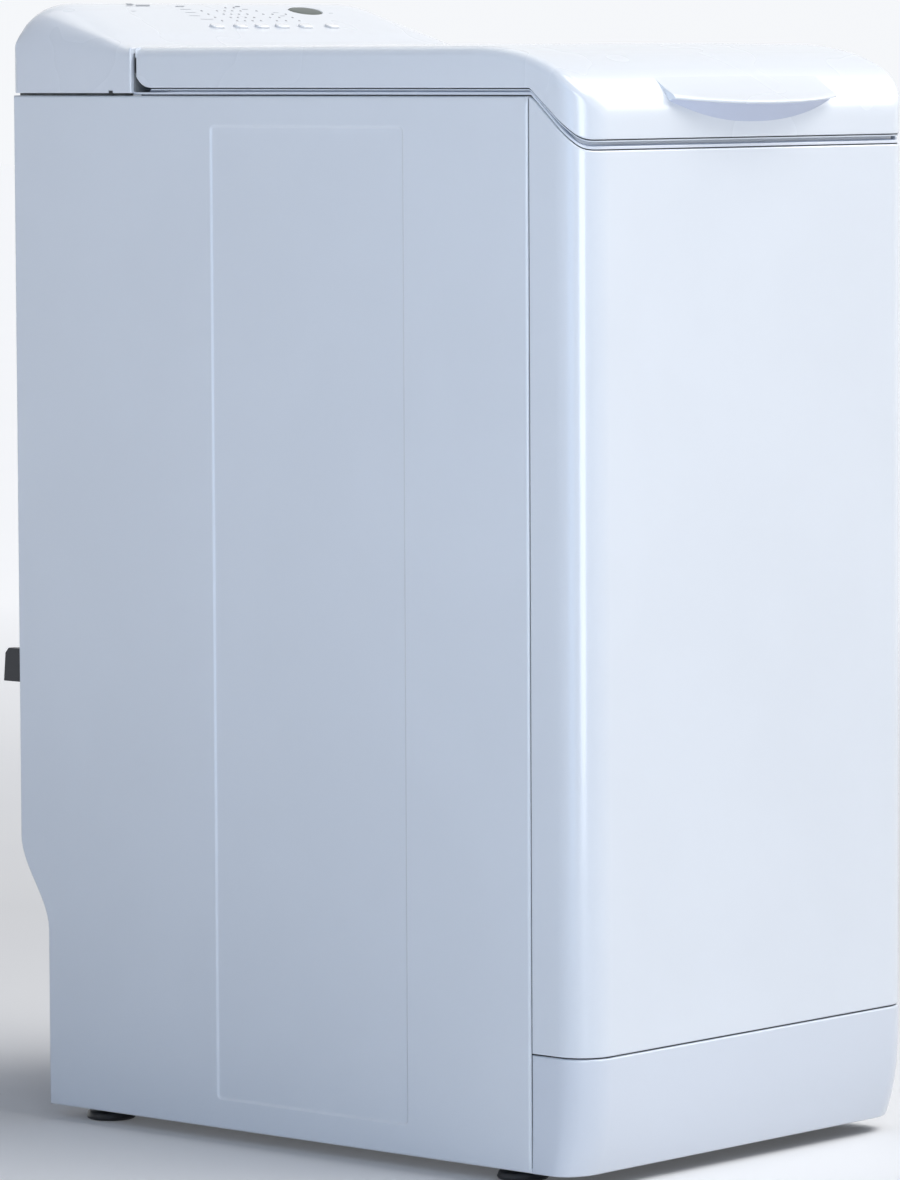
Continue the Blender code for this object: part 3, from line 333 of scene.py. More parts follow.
def plastic(name, colour, rough=0.3, grain=0.004, coat=0.0, drift=0.985, polish=0.12):
    """Moulded plastic with a fine spark-eroded grain; polish is the roughness of its coat."""
    made = Finish(name, colour, rough, coat=coat)
    made.sockets(Coat_Roughness=polish)
    made.drift(made.ramp(made.noise(0.16, 1.0), 0.0, 1.0, 0.15, 0.85), shade(colour, drift))
    made.gloss(made.noise(0.09, 1.5), rough - 0.015, rough + 0.02)
    return made.relief(made.noise(0.0007, 2.0), grain * MM).material


def metal(name, colour, rough, brushed=None, cast=0.0, spangle=0.0):
    """Bare metal: brushed along an axis, cast and grainy, or zinc with its spangle."""
    made = Finish(name, colour, rough, metallic=1.0)
    if spangle:
        flakes = made.cells(spangle)
        made.drift(made.ramp(flakes, 0.0, 1.0, 0.0, 0.9), shade(colour, 0.78))
        made.gloss(flakes, rough - 0.05, rough + 0.12).relief(made.noise(0.0012, 3.0), 0.01 * MM)
    elif brushed:
        lines = made.noise(0.02, 5.0, brushed)
        made.drift(made.ramp(lines, 0.0, 1.0), shade(colour, 0.86))
        made.gloss(lines, rough - 0.06, rough + 0.1).relief(lines, 0.012 * MM)
    else:
        made.drift(made.ramp(made.noise(0.012, 5.0), 0.0, 1.0), shade(colour, 0.85))
        made.gloss(made.noise(0.004, 4.0), rough - 0.05, rough + 0.1)
        made.relief(made.noise(0.0015, 4.0), cast * MM)
    return made.material


def rubber(name, colour, rough=0.62):
    made = Finish(name, colour, rough, specular=0.3)
    made.drift(made.ramp(made.noise(0.015, 5.0), 0.0, 1.0), tuple(c + 0.03 for c in colour))
    made.gloss(made.noise(0.005, 3.0), rough - 0.1, rough + 0.1)
    return made.relief(made.noise(0.0009, 4.0), 0.02 * MM).material


def concrete():
    made = Finish("concrete", (0.36, 0.35, 0.33), 0.9)
    made.drift(made.ramp(made.noise(0.006, 8.0), 0.0, 1.0), (0.52, 0.51, 0.48))
    return made.relief(made.noise(0.002, 6.0), 0.25 * MM).relief(made.cells(0.009), 0.5 * MM, 0.4).material


def circuit():
    made = Finish("circuit_board", (0.02, 0.16, 0.07), 0.35, coat=0.3)
    tracks = made.add("ShaderNodeTexBrick", Scale=60.0, Mortar_Size=0.03)
    made.links.new(made.place, tracks.inputs["Vector"])
    made.drift(made.ramp(tracks.outputs["Fac"], 0.0, 1.0, 0.1, 0.9), (0.06, 0.32, 0.14))
    return made.relief(tracks.outputs["Fac"], 0.03 * MM).material


WHITE = (0.80, 0.84, 0.895)
ENAMEL = enamel("white_enamel", WHITE)
# Painted shade: the blue-grey of the skin under the lid's handle.
UNDERSIDE_SHADE_GREY = plastic("handle_underside_shade", (0.58, 0.63, 0.77), 0.42, 0.0006)
# Painted shade: the blue-grey of the bead in the band under the lid's edge.
BEAD_SHADE_GREY = plastic("bead_painted_shade", (0.36, 0.42, 0.54), 0.45, 0.001)
LID_WHITE = plastic("lid_white", (0.805, 0.845, 0.90), 0.26, 0.0002, coat=1.0, polish=0.26)
CONSOLE_WHITE = plastic("console_white", (0.81, 0.845, 0.90), 0.28, 0.0002, coat=0.9)
# Painted shade: the plinth's white is darker and bluer than the enamel, standing for the shade on its face that
# tilts down towards the floor.
PLINTH_SHADED_WHITE = plastic("plinth_white_painted_shade", (0.72, 0.765, 0.84), 0.32, 0.0003, coat=0.8)
BUTTON_WHITE = plastic("button_white", (0.90, 0.91, 0.93), 0.20, 0.0002, coat=1.0)
INNER_WHITE = plastic("inner_white", (0.76, 0.80, 0.86), 0.42, 0.012)
DECK_GREY = plastic("deck_white", (0.76, 0.80, 0.87), 0.32, 0.003, coat=0.4)
GREY = plastic("grey_plastic", (0.42, 0.45, 0.50), 0.45, 0.015)
BLACK = plastic("black_plastic", (0.018, 0.019, 0.022), 0.42, 0.015, drift=1.6)
TUB_GREY = plastic("tub_grey", (0.50, 0.52, 0.54), 0.55, 0.03, drift=0.9)
SCREEN = plastic("screen", (0.095, 0.115, 0.10), 0.30, 0.0005, coat=0.12, drift=0.85)
SCREEN.node_tree.nodes["Principled BSDF"].inputs["Specular IOR Level"].default_value = 0.12
LEGEND = plastic("legend_grey", (0.33, 0.35, 0.38), 0.5, 0.004)
LAMP = plastic("lamp_grey", (0.30, 0.31, 0.33), 0.25, 0.002, coat=0.5)
ZINC = metal("zinc_steel", (0.60, 0.61, 0.63), 0.38, spangle=0.011)
STAINLESS = metal("stainless", (0.63, 0.63, 0.62), 0.24, brushed=(0.05, 1.0, 1.0))
SPRING_STEEL = metal("spring_steel", (0.32, 0.32, 0.33), 0.33, brushed=(1.0, 1.0, 0.2))
CHROME = metal("bright_steel", (0.72, 0.72, 0.73), 0.12, brushed=(1.0, 1.0, 0.1))
ALUMINIUM = metal("cast_aluminium", (0.66, 0.67, 0.68), 0.42, cast=0.06)
CASTING = metal("motor_casting", (0.36, 0.37, 0.39), 0.5, cast=0.08)
RUBBER_AND_SHADE = rubber("rubber", (0.028, 0.029, 0.031))
# Grey of the real rubber bellows, and painted shade for the strip in front of the console.
GASKET_AND_SHADE_GREY = rubber("gasket_and_shade_grey", (0.20, 0.21, 0.22), 0.55)

FINISHES = {
    "side_enamel": ENAMEL,
    "front_enamel": ENAMEL,
    "plinth_plastic": PLINTH_SHADED_WHITE,
    "lid_plastic": LID_WHITE,
    "console_plastic": CONSOLE_WHITE,
    "button_plastic": BUTTON_WHITE,
    "white_plastic": INNER_WHITE,
    "deck_plastic": DECK_GREY,
    "grey_plastic": GREY,
    "black_plastic": BLACK,
    "display": SCREEN,
    "circuit_board": circuit(),
    "rubber": RUBBER_AND_SHADE,
    "tub_plastic": TUB_GREY,
    "zinc_steel": ZINC,
    "spring_steel": SPRING_STEEL,
    "stainless": STAINLESS,
    "chrome": CHROME,
    "aluminium": ALUMINIUM,
    "motor_casting": CASTING,
    "concrete": concrete(),
}


# --- sheet metal ---
def sweep(shape, outline, section):
    """A closed section of (offset, height) carried round an outline; outline(offset) gives its points."""
    shape.skin([[(x, y, z) for x, y in outline(offset)] for offset, z in section], closed=True, ring=True)


def tray(shape, columns, rows, surface, radius, reach):
    """A sheet with its edges rounded and folded in.
    surface(u, v, inset, depth) gives a point behind the face; u and v are the stops' places,
    and inset is how far in from the sheet's own edge they are kept."""
    shape.skin([[surface(u, v, radius, 0.0) for u in columns] for v in rows])
    loops = []
    edges = [(u, rows[0]) for u in columns[:-1]] + [(columns[-1], v) for v in rows[:-1]]
    edges += [(u, rows[-1]) for u in columns[:0:-1]] + [(columns[0], v) for v in rows[:0:-1]]
    for inset, depth in [*rounding(radius), (0.0, reach)]:
        loops.append([surface(u, v, inset, depth) for u, v in edges])
    shape.skin(loops, closed=True)


def around(low, high, offsets):
    """Stops bunched round two edges and sparse between them."""
    return [low + o for o in offsets] + [high - o for o in reversed(offsets)]


def side_panel(side):
    """The face, with its shallow pressing, runs back to the cabinet's shaped rear edge."""
    half_y, half_z = PRESSING_HALF
    bunch = [o * MM for o in (-8, -4, -2, -1, -0.4, 0, 0.4, 0.9, 1.4, 1.9, 2.4, 3, 4, 6, 10)]
    near, far = PRESSING_Y - half_y, PRESSING_Y + half_y
    ys = [SEAM, SEAM + 30 * MM, SEAM + 70 * MM, *around(near, far, bunch), 0.11, 0.16, 0.21, 0.26, REAR]
    low, high = PRESSING_Z - half_z, PRESSING_Z + half_z
    zs = [SKIRT, SKIRT + 9 * MM, *around(low, high, bunch), SIDE_TOP - 8 * MM, SIDE_TOP]
    middle = len(zs) // 2
    recess = spread(RECESS_LOW, RECESS_HIGH, 15)
    zs[middle:middle] = [0.09, 0.13, *recess, 0.26, 0.33, 0.42, 0.51, 0.60, 0.69, 0.75]
    corner_r, slope, depth_in = 5 * MM, 2.4 * MM, 1.3 * MM

    def pressed(y, z):
        """How deep the pressing is here, from the distance inside its rounded outline."""
        u = abs(y - PRESSING_Y) - (half_y - corner_r)
        v = abs(z - PRESSING_Z) - (half_z - corner_r)
        outside = math.hypot(max(u, 0.0), max(v, 0.0)) + min(max(u, v), 0.0) - corner_r
        return depth_in * smooth(-outside / slope)

    def surface(y, z, inset, depth):
        z = min(max(z, SKIRT + inset), SIDE_TOP - inset)
        pivot = 0.10
        rear = rear_line(z)
        if y > pivot:
            y = pivot + (y - pivot) * (rear - pivot) / (REAR - pivot)
        y = min(max(y, SEAM + inset), rear - inset)
        return (side * (HALF - depth - pressed(y, z)), y, z)

    shape = Shape()
    tray(shape, ys, zs, surface, 2.5 * MM, 15 * MM)
    name = "left" if side < 0 else "right"
    face = Vector((side, 0, 0))
    node = f"{name}_side_panel"
    piece(f"{name}_side_skin", shape, "cabinet", "side_enamel", ENAMEL, [node], SHEET, face=face)


def wrap_path(rear):
    """Points (x, y, outward x, outward y) round the front, from the left seam to the right one."""
    x, y = HALF - CORNER_R, FRONT + CORNER_R
    found = [(-HALF, rear - (rear - y) * i / 6, -1.0, 0.0) for i in range(6)]
    for centre, start in ((-x, 180), (x, 270)):
        for i in range(15):
            a = math.radians(start + 90 * i / 14)
            nx, ny = math.cos(a), math.sin(a)
            found.append((centre + CORNER_R * nx, y + CORNER_R * ny, nx, ny))
        if centre < 0:
            found += [(x * t, FRONT, 0.0, -1.0) for t in spread(-0.85, 0.85, 9)]
    return found + [(HALF, y + (rear - y) * i / 6, 1.0, 0.0) for i in range(1, 7)]


def wrap_panel(name, node, slot, finish, foot, top, curl, radius, reach, thick):
    """A panel bent round the front corners.
    foot and top give its edges' heights at a y; curl moves a point."""
    rear = SEAM - 1.3 * MM
    path = wrap_path(rear)
    columns = list(range(len(path)))
    rows = [0.0, 0.02, 0.06, 0.12, 0.2, 0.3, 0.4, 0.5, 0.6, 0.7, 0.8, 0.88, 0.94, 0.98, 1.0]

    def surface(column, fraction, inset, depth):
        x, y, nx, ny = path[column]
        y = min(y, rear - inset) if abs(nx) == 1.0 else y
        low, high = foot(y) + inset, top(y) - inset
        return curl(x - nx * depth, y - ny * depth, low + (high - low) * fraction)

    shape = Shape()
    tray(shape, columns, rows, surface, radius, reach)
    return piece(name, shape, *slot, finish, [node], thick, face=Vector((0, -1, 0)))


def front_panel():
    wrap_panel(
        "front_skin",
        "front_panel",
        ("cabinet", "front_enamel"),
        ENAMEL,
        lambda y: FRONT_LOW.z + 0.3 * MM,
        lambda y: step_down(y, DECK_STEP_Y, SIDE_TOP, FRONT_TOP),
        lambda x, y, z: (x, y, z),
        1.5 * MM,
        8 * MM,
        SHEET,
    )


def plinth():
    def curl(x, y, z):
        tuck = 15 * MM * max((PLINTH_HIGH.z - z) / (PLINTH_HIGH.z - SKIRT), 0.0) ** 3
        return (x, SEAM + (y - SEAM) * (1 - tuck / (SEAM - FRONT)), z)

    wrap_panel(
        "kick_skin",
        "plinth",
        ("kick_panel", "plinth_plastic"),
        PLINTH_SHADED_WHITE,
        lambda y: SKIRT,
        lambda y: PLINTH_HIGH.z - 0.4 * MM,
        curl,
        1.8 * MM,
        6 * MM,
        2.0 * MM,
    )


# --- moulded covers ---
# Shares of the half width at which a moulding's rows have their points, and stops along the stepped edges.
COLUMNS = [-1, -0.985, -0.965, -0.94, -0.91, -0.87, -0.82, -0.76, -0.68, -0.6, -0.5, -0.4, -0.3, -0.2, -0.1]
COLUMNS = COLUMNS + [0.0] + [-c for c in reversed(COLUMNS)]
STEP_YS = [-0.2435, -0.2455, -0.2475, -0.2495, -0.2515, -0.256, -0.261, -0.266]


def all_round(half, back=True):
    """A whole outline from its left half: left side, front, right side and, with back, the rear."""
    right = [(-x, y, -nx, ny) for x, y, nx, ny in reversed(half)]
    front = [(-half[-1][0] * t, half[-1][1], 0.0, -1.0) for t in COLUMNS[1:-1]]
    rear = [(half[0][0] * t, half[0][1], 0.0, 1.0) for t in COLUMNS[1:-1]]
    return [*half, *front, *right, *(rear if back else [])]


def half_plan(rear, rear_r, sides, front, front_r, half=HALF, steps=18):
    """The left half of a plan outline, rear to front, as (x, y, outward x, outward y)."""
    found = []

    def turn(x, y, radius, start, count):
        for i in range(count + 1):
            a = math.radians(start + 90 * i / count)
            found.append((x + radius * math.cos(a), y + radius * math.sin(a), math.cos(a), math.sin(a)))

    turn(-half + rear_r, rear - rear_r, rear_r, 90, 4)
    found.extend((-half, y, -1.0, 0.0) for y in sides)
    turn(-half + front_r, front + front_r, front_r, 180, steps)
    return found


def cover(shape, half, top, edge, foot, wall, lip=0.8 * MM):
    """A moulding that is open below: a crowned top, rounded edges, upright sides and an inner face.
    top(x, y) is its height, edge(nx, ny) the rounding, and foot(y, ny) the lower edge's height."""
    outline = all_round(half)

    def ring(inset, height):
        found = []
        for x, y, nx, ny in outline:
            r = edge(nx, ny)
            i = inset(r)
            px, py = x - nx * i, y - ny * i
            found.append((px, py, height(px, py, ny, r)))
        return found

    def level(inset, above, sunk):
        """A ring between the lower edge and the top: above is metres over the foot,
        sunk a share of the way from there to the top."""
        found = []
        for x, y, nx, ny in outline:
            r = edge(nx, ny)
            px, py = x - nx * inset, y - ny * inset
            low = foot(y, ny)
            high = top(x, y) - r
            found.append((px, py, low + above + (high - low - above) * sunk))
        return found

    def plate(drop, least):
        rows = []
        for x, y, nx, ny in half:
            i = max(edge(nx, ny), least)
            px, py = x - nx * i, y - ny * i
            rows.append([(-px * t, py, top(-px * t, py) - drop) for t in COLUMNS])
        return rows

    outer = [
        ring(lambda r, a=a: r * (1 - math.sin(a)), lambda x, y, ny, r, a=a: top(x, y) - r * (1 - math.cos(a)))
        for a in QUARTER
    ]
    walls = [level(0.0, lip * 1.5, 0.6), level(0.0, lip * 1.5, 0.25)]
    turn = [(0.0, 1.5), (0.12, 0.7), (0.45, 0.2), (1.0, 0.0)]
    walls += [level(lip * i, lip * h, 0.0) for i, h in turn]
    walls += [level(wall - lip * i, lip * h, 0.0) for i, h in reversed(turn)]
    walls += [level(wall, lip * 1.5, 0.55)]
    inner = [ring(lambda r: max(r, wall), lambda x, y, ny, r: top(x, y) - wall)]
    shape.skin(outer + walls + inner, closed=True)
    shape.skin(plate(0.0, 0.0))
    shape.skin(plate(wall, wall))


def lid_top(x, y):
    """The lid's upper face: level with a slight crown, then a quarter ellipse down to the front."""
    s = min(max((LID_CURVE_Y - y) / (LID_CURVE_Y - FRONT), 0.0), 1.0)
    crown = CROWN * (1 - (x / HALF) ** 2) * smooth((y - FRONT) / (LID_CURVE_Y - FRONT))
    return LID_CURVE_Z + (LID_TOP - LID_CURVE_Z) * math.sqrt(1 - s * s) + crown


def lid_front(z):
    """Where the lid's face is at this height, on its front curve or below it."""
    if z <= LID_CURVE_Z:
        return FRONT
    up = min((z - LID_CURVE_Z) / (LID_TOP - LID_CURVE_Z), 1.0)
    return LID_CURVE_Y + (FRONT - LID_CURVE_Y) * math.sqrt(1 - up * up)


def lid_foot(y, ny):
    """The lid's lower edge: stepped at the front, rounded up at the rear corners,
    and a thin lip across the rear."""
    if ny == 1.0:
        return LID_LIP
    back = max(y - LID_REAR + LID_HEEL_R, 0.0)
    heel = LID_HEEL_R - math.sqrt(max(LID_HEEL_R**2 - back * back, 0.0))
    return step_down(y, LID_STEP_Y, LID_SIDE, LID_FRONT) + heel


def lid_edge(nx, ny):
    """The lid's rounding: broad along the sides and round the front, narrow across the rear."""
    if ny > 0.0:
        return (2 + 6 * abs(nx) ** 40) * MM
    return 8 * MM * abs(nx) + 2 * MM * abs(ny)


def lid_cover():
    heel = [LID_REAR - LID_HEEL_R * (1 - math.sin(math.radians(a))) for a in (66, 54, 42, 30, 18, 8, 0)]
    sides = [*heel, 0.12, 0.08, 0.03, -0.03, -0.09, -0.15, -0.185, -0.20, -0.215, -0.23, *STEP_YS]
    shape = Shape()
    plan = half_plan(LID_REAR, 3 * MM, sides, FRONT, CORNER_R)
    cover(shape, plan, lid_top, lid_edge, lid_foot, WALL)
    piece("lid_cover", shape, "lid", "lid_plastic", LID_WHITE, ["lid_shell"])


def lid_handle():
    """A tongue that runs forward out of the lid's curve to a rounded brow, with a finger hollow under it."""
    sections, pads = [], []
    stops = [HANDLE_HALF * math.sin(math.radians(a)) for a in spread(-82, 82, 57)]
    ends = [HANDLE_HALF * k for k in (1.0, 0.9985, 0.995)]
    stops = [-e for e in ends] + stops + ends[::-1]
    for index, x in enumerate(stops):
        near_end = min(index, len(stops) - 1 - index)
        shrink = (1.1, 0.45, 0.1)[near_end] * MM if near_end < 3 else 0.0
        swell = max(1 - abs(x / HANDLE_HALF) ** 2.2, 0.0)
        reach = 3.2 * MM + (HANDLE_REACH - 3.2 * MM) * swell
        tip_z, low_z = 0.8225 - 3.8 * MM * swell, 0.8195 - 16.5 * MM * swell
        top_z = 0.8375 + 0.8 * MM * swell
        start, end = Vector((lid_front(top_z), top_z)), Vector((lid_front(low_z), low_z))
        tip = Vector((FRONT - reach, tip_z))
        ahead = Vector((lid_front(top_z - 1 * MM), top_z - 1 * MM)) - start
        lean = start + ahead.normalized() * (tip - start).length * 0.5 + Vector((0, 0.6 * MM))
        over = [start.lerp(lean, t).lerp(lean.lerp(tip, t), t) for t in spread(0.0, 0.94, 12)]
        brow = 1.1 * MM
        nose = [tip + Vector((math.cos(a), math.sin(a))) * brow + Vector((brow, -brow))
                for a in [math.radians(d) for d in (110, 140, 170, 200, 230, 260)]]
        step = [nose[-1] + Vector((1.6 * MM, 0.5 * MM))]
        hollow = step[0].lerp(end, 0.5) + Vector((1.6 * MM, 1.4 * MM)) * swell
        under = [step[0].lerp(hollow, t).lerp(hollow.lerp(end, t), t) for t in spread(0.08, 1.0, 9)]
        if not shrink and swell > 0.02:
            pad = [p - Vector((0.2, 0.2)) * MM for p in under]
            pad += [p + Vector((0.4, 0.4)) * MM for p in reversed(under)]
            pads.append([(x, p.x, p.y) for p in pad])
        back = [Vector((lid_front(z) + 0.8 * MM, z)) for z in spread(low_z + 0.3 * MM, top_z - 0.3 * MM, 8)]
        loop = [*over, *nose, *step, *under, *back]
        middle = sum(loop, Vector((0, 0))) / len(loop)
        if shrink:
            loop = [p + (middle - p).normalized() * min(shrink, (middle - p).length * 0.8) for p in loop]
        sections.append([(x, p.x, p.y) for p in loop])
    shape = Shape()
    shape.skin(sections, closed=True)
    shape.cap(sections[0])
    shape.cap(sections[-1])
    piece("handle_visor", shape, "lid", "lid_plastic", LID_WHITE, ["lid_handle"])
    # A blue-grey skin over the finger hollow: painted shade on the handle's underface, which faces down and
    # forwards.
    hollow_shade = Shape()
    hollow_shade.skin(pads, closed=True)
    hollow_shade.cap(pads[0])
    hollow_shade.cap(pads[-1])
    piece("handle_shade_skin", hollow_shade, "lid", "lid_plastic", UNDERSIDE_SHADE_GREY)


def console_top(x, y):
    """The console's face: a small scoop and a straight slope to the crest,
    rounded over at both ends and at the rear."""
    t = (y - CONSOLE_FRONT) / (CREST_Y - CONSOLE_FRONT)
    scoop, turn = 0.36, 0.15
    if t < scoop:
        s = t / scoop
        t = scoop * (0.2 * s + 1.6 * s * s - 0.8 * s**3)
    elif t > 1 + turn:
        t = 1.0
    elif t > 1 - turn:
        t -= (t - 1 + turn) ** 2 / (4 * turn)
    end = min(max((abs(x) - HALF + CONSOLE_END) / CONSOLE_END, 0.0), 1.0)
    back = min(max((y - REAR + CONSOLE_EDGE) / CONSOLE_EDGE, 0.0), 1.0)
    z = LID_TOP + (CREST_Z - LID_TOP) * t * (1 - end**2.7) ** (1 / 2.7)
    return SHOULDER + (z - SHOULDER) * (1 - back**2.7) ** (1 / 2.7)


def on_console(x, y):
    """A place on the console's straight slope, turned to lie in it."""
    z = LID_TOP + (y - CONSOLE_FRONT) * math.tan(SLOPE)
    return Matrix.Translation((x, y, z)) @ Matrix.Rotation(SLOPE, 4, "X")


def rounded_outline(half_u, half_v, radius, steps=8):
    """A rectangle with rounded corners, round its middle."""
    found = []
    for turn, (su, sv) in enumerate(((1, 1), (-1, 1), (-1, -1), (1, -1))):
        for i in range(steps + 1):
            a = math.radians(90 * turn + 90 * i / steps)
            u = su * (half_u - radius) + radius * math.cos(a)
            v = sv * (half_v - radius) + radius * math.sin(a)
            found.append((u, v))
    return found


def inset_outline(half, inset, radius, least=0.0):
    """A rounded outline drawn in by an inset; the inset and both radii are in mm."""
    return rounded_outline(half[0] - inset * MM, half[1] - inset * MM, max(radius - inset, least) * MM)


def oval_outline(half_u, half_v, sides=48):
    ring = [2 * math.pi * i / sides for i in range(sides)]
    return [(half_u * math.cos(a), half_v * math.sin(a)) for a in ring]


def stacked(shape, place, layers):
    """Outlines stacked along a place's own normal: each layer is (outline, height)."""
    rows = [[place @ Vector((u, v, h)) for u, v in outline] for outline, h in layers]
    grid = shape.skin(rows, closed=True)
    shape.cage.faces.new(grid[0])
    shape.cage.faces.new(grid[-1])


BUTTONS = [name for name in sorted(frame["nodes"]) if name.endswith("_button")]
CAP = (7 * MM, 3.75 * MM)  # half sizes of a button's cap and of the display
DISPLAY = (18 * MM, 9.5 * MM)


def middle_of(node):
    """The middle of a CAD node's box."""
    low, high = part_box(node)
    return (low + high) / 2


def console():
    rows = [REAR - CONSOLE_EDGE * (1 - math.sin(math.radians(a))) for a in (52, 47, 41, 34, 27, 20, 13, 6, 0)]
    rows += [0.258, 0.250, 0.240, 0.228, 0.216, 0.204, 0.197, 0.190, 0.184, 0.178, 0.173]
    shape = Shape()
    plan = half_plan(REAR, 5.5 * MM, rows, CONSOLE_FRONT, 2 * MM, steps=6)

    def edge(nx, ny):
        return (0.9 + 7.1 * abs(nx) ** 40) * MM

    cover(shape, plan, console_top, edge, lambda y, ny: CONSOLE_FOOT, WALL)
    notches = Shape()
    for side in (-1, 1):
        x0, x1 = on_side(side, HALF + 1 * MM, HALF - 1.6 * MM)
        notches.block((x0, 0.1878, CONSOLE_FOOT - 1 * MM), (x1, 0.1930, CONSOLE_FOOT + 2.2 * MM))
    tools = [notches]
    for name in BUTTONS:
        middle = middle_of(name)
        tool = Shape()
        hole = rounded_outline(CAP[0] + GAP, CAP[1] + GAP, 3.6 * MM)
        flare = rounded_outline(CAP[0] + 0.9 * MM, CAP[1] + 0.9 * MM, 4.2 * MM)
        layers = [(hole, -8 * MM), (hole, -0.7 * MM), (flare, 0.05 * MM), (flare, 4 * MM)]
        stacked(tool, on_console(middle.x, BUTTON_Y), layers)
        tools.append(tool)
    middle = middle_of("display_window")
    tool = Shape()
    hole = oval_outline(DISPLAY[0] + GAP, DISPLAY[1] + GAP)
    flare = oval_outline(DISPLAY[0] + 1.2 * MM, DISPLAY[1] + 1.2 * MM)
    layers = [(hole, -8 * MM), (hole, -0.9 * MM), (flare, 0.1 * MM), (flare, 4 * MM)]
    stacked(tool, on_console(middle.x, DISPLAY_Y), layers)
    tools.append(tool)
    piece("console_shell", shape, "cabinet", "console_plastic", CONSOLE_WHITE, ["control_panel"], cuts=tools)


def button_caps():
    """One domed cap on each button, with a flange behind the console's face."""
    for name in BUTTONS:
        x = middle_of(name).x
        shape = Shape()
        flange = rounded_outline(CAP[0] + 2 * MM, CAP[1] + 2 * MM, 2 * MM)
        layers = [(flange, -4.5 * MM), (flange, -3.2 * MM), (rounded_outline(*CAP, 3.4 * MM), -3.2 * MM)]
        for inset, drop in [(0.0, 1.3), (0.1, 0.7), (0.45, 0.25), (1.0, 0.02), (1.8, 0.1), (2.6, 0.22)]:
            layers.append((inset_outline(CAP, inset, 3.4, 0.6), (2.0 - drop) * MM))
        stacked(shape, on_console(x, BUTTON_Y), layers)
        piece(f"{name}_cap", shape, f"{name}_body", "button_plastic", BUTTON_WHITE, [name])


def console_details():
    """The display's pane, the lamps and the plain marks beside them."""
    shape = Shape()
    layers = [(oval_outline(DISPLAY[0] - i * MM, DISPLAY[1] - i * MM), h * MM)
              for i, h in ((0, -2.0), (0, -0.6), (0.4, -0.2), (2, 0.0), (5, 0.15), (8, 0.2))]
    stacked(shape, on_console(middle_of("display_window").x, DISPLAY_Y), layers)
    piece("display_pane", shape, "cabinet", "display", SCREEN, ["display_window"])

    lamps = Shape()
    columns = [(-32, 4), (-14, 4), (-5, 4), (4, 5), (14, 5), (33, 4), (44, 3), (60, 3)]
    first, pitch, radius = 0.228, 7.6 * MM, 1.05 * MM
    for x, count in columns:
        for i in range(count):
            layers = [(oval_outline(radius * k, radius * k, 16), h * MM)
                      for k, h in ((1.0, -0.3), (1.0, 0.12), (0.8, 0.32), (0.4, 0.42))]
            stacked(lamps, on_console(x * MM, first + pitch * i), layers)
    piece("indicator_lamps", lamps, "cabinet", "grey_plastic", LAMP)

    legend = Shape()
    bars = [(-46, 262, 10), (-47, 254.5, 12), (-49, 247, 12), (-52, 239.5, 12), (-46, 231.5, 14)]
    bars += [(22, 262, 6), (23, 254.5, 7), (52, 247, 7), (52, 239.5, 6), (-112, 250, 5), (118, 246, 5)]
    for x, y, width in bars:
        outline = rounded_outline(width * MM / 2, 0.4 * MM, 0.38 * MM, 3)
        stacked(legend, on_console(x * MM, y * MM), [(outline, -0.2 * MM), (outline, 0.08 * MM)])
    for i, width in enumerate((7, 16)):
        outline = rounded_outline(width * MM / 2, 1.4 * MM - 0.6 * MM * i, 0.6 * MM, 3)
        place = on_console(-100 * MM + 13 * MM * i, 266 * MM - 2 * MM * i)
        stacked(legend, place, [(outline, -0.2 * MM), (outline, 0.1 * MM)])
    piece("console_marks", legend, "cabinet", "grey_plastic", LEGEND)


# --- the deck and what is under the lid ---
LEVEL = SIDE_TOP + WALL  # the height of the deck's level plate


def out_y(y, inset):
    """The outline's y from which a point at this inset from it came."""
    turn_y = FRONT + CORNER_R
    return y if y > turn_y else turn_y + (y - turn_y) * CORNER_R / (CORNER_R - inset)


def ribbon(shape, section, rear, step_y, side_z, front_z):
    """A closed section of (inset, rise) in mm, carried round three sides along the stepped parting line."""
    sides = [rear, 0.1, 0.05, 0.0, -0.05, -0.1, -0.15, -0.2, -0.23, *STEP_YS]
    plan = half_plan(REAR, 8 * MM, sides, FRONT, CORNER_R)[5:]
    path = all_round(plan, back=False)
    rows = []
    for inset, rise in section:
        i = inset * MM
        rows.append([(x - nx * i, y - ny * i, step_down(y, step_y, side_z, front_z) + rise * MM)
                     for x, y, nx, ny in path])
    shape.skin(rows, ring=True)
    shape.cap([row[0] for row in rows])
    shape.cap([row[-1] for row in rows])


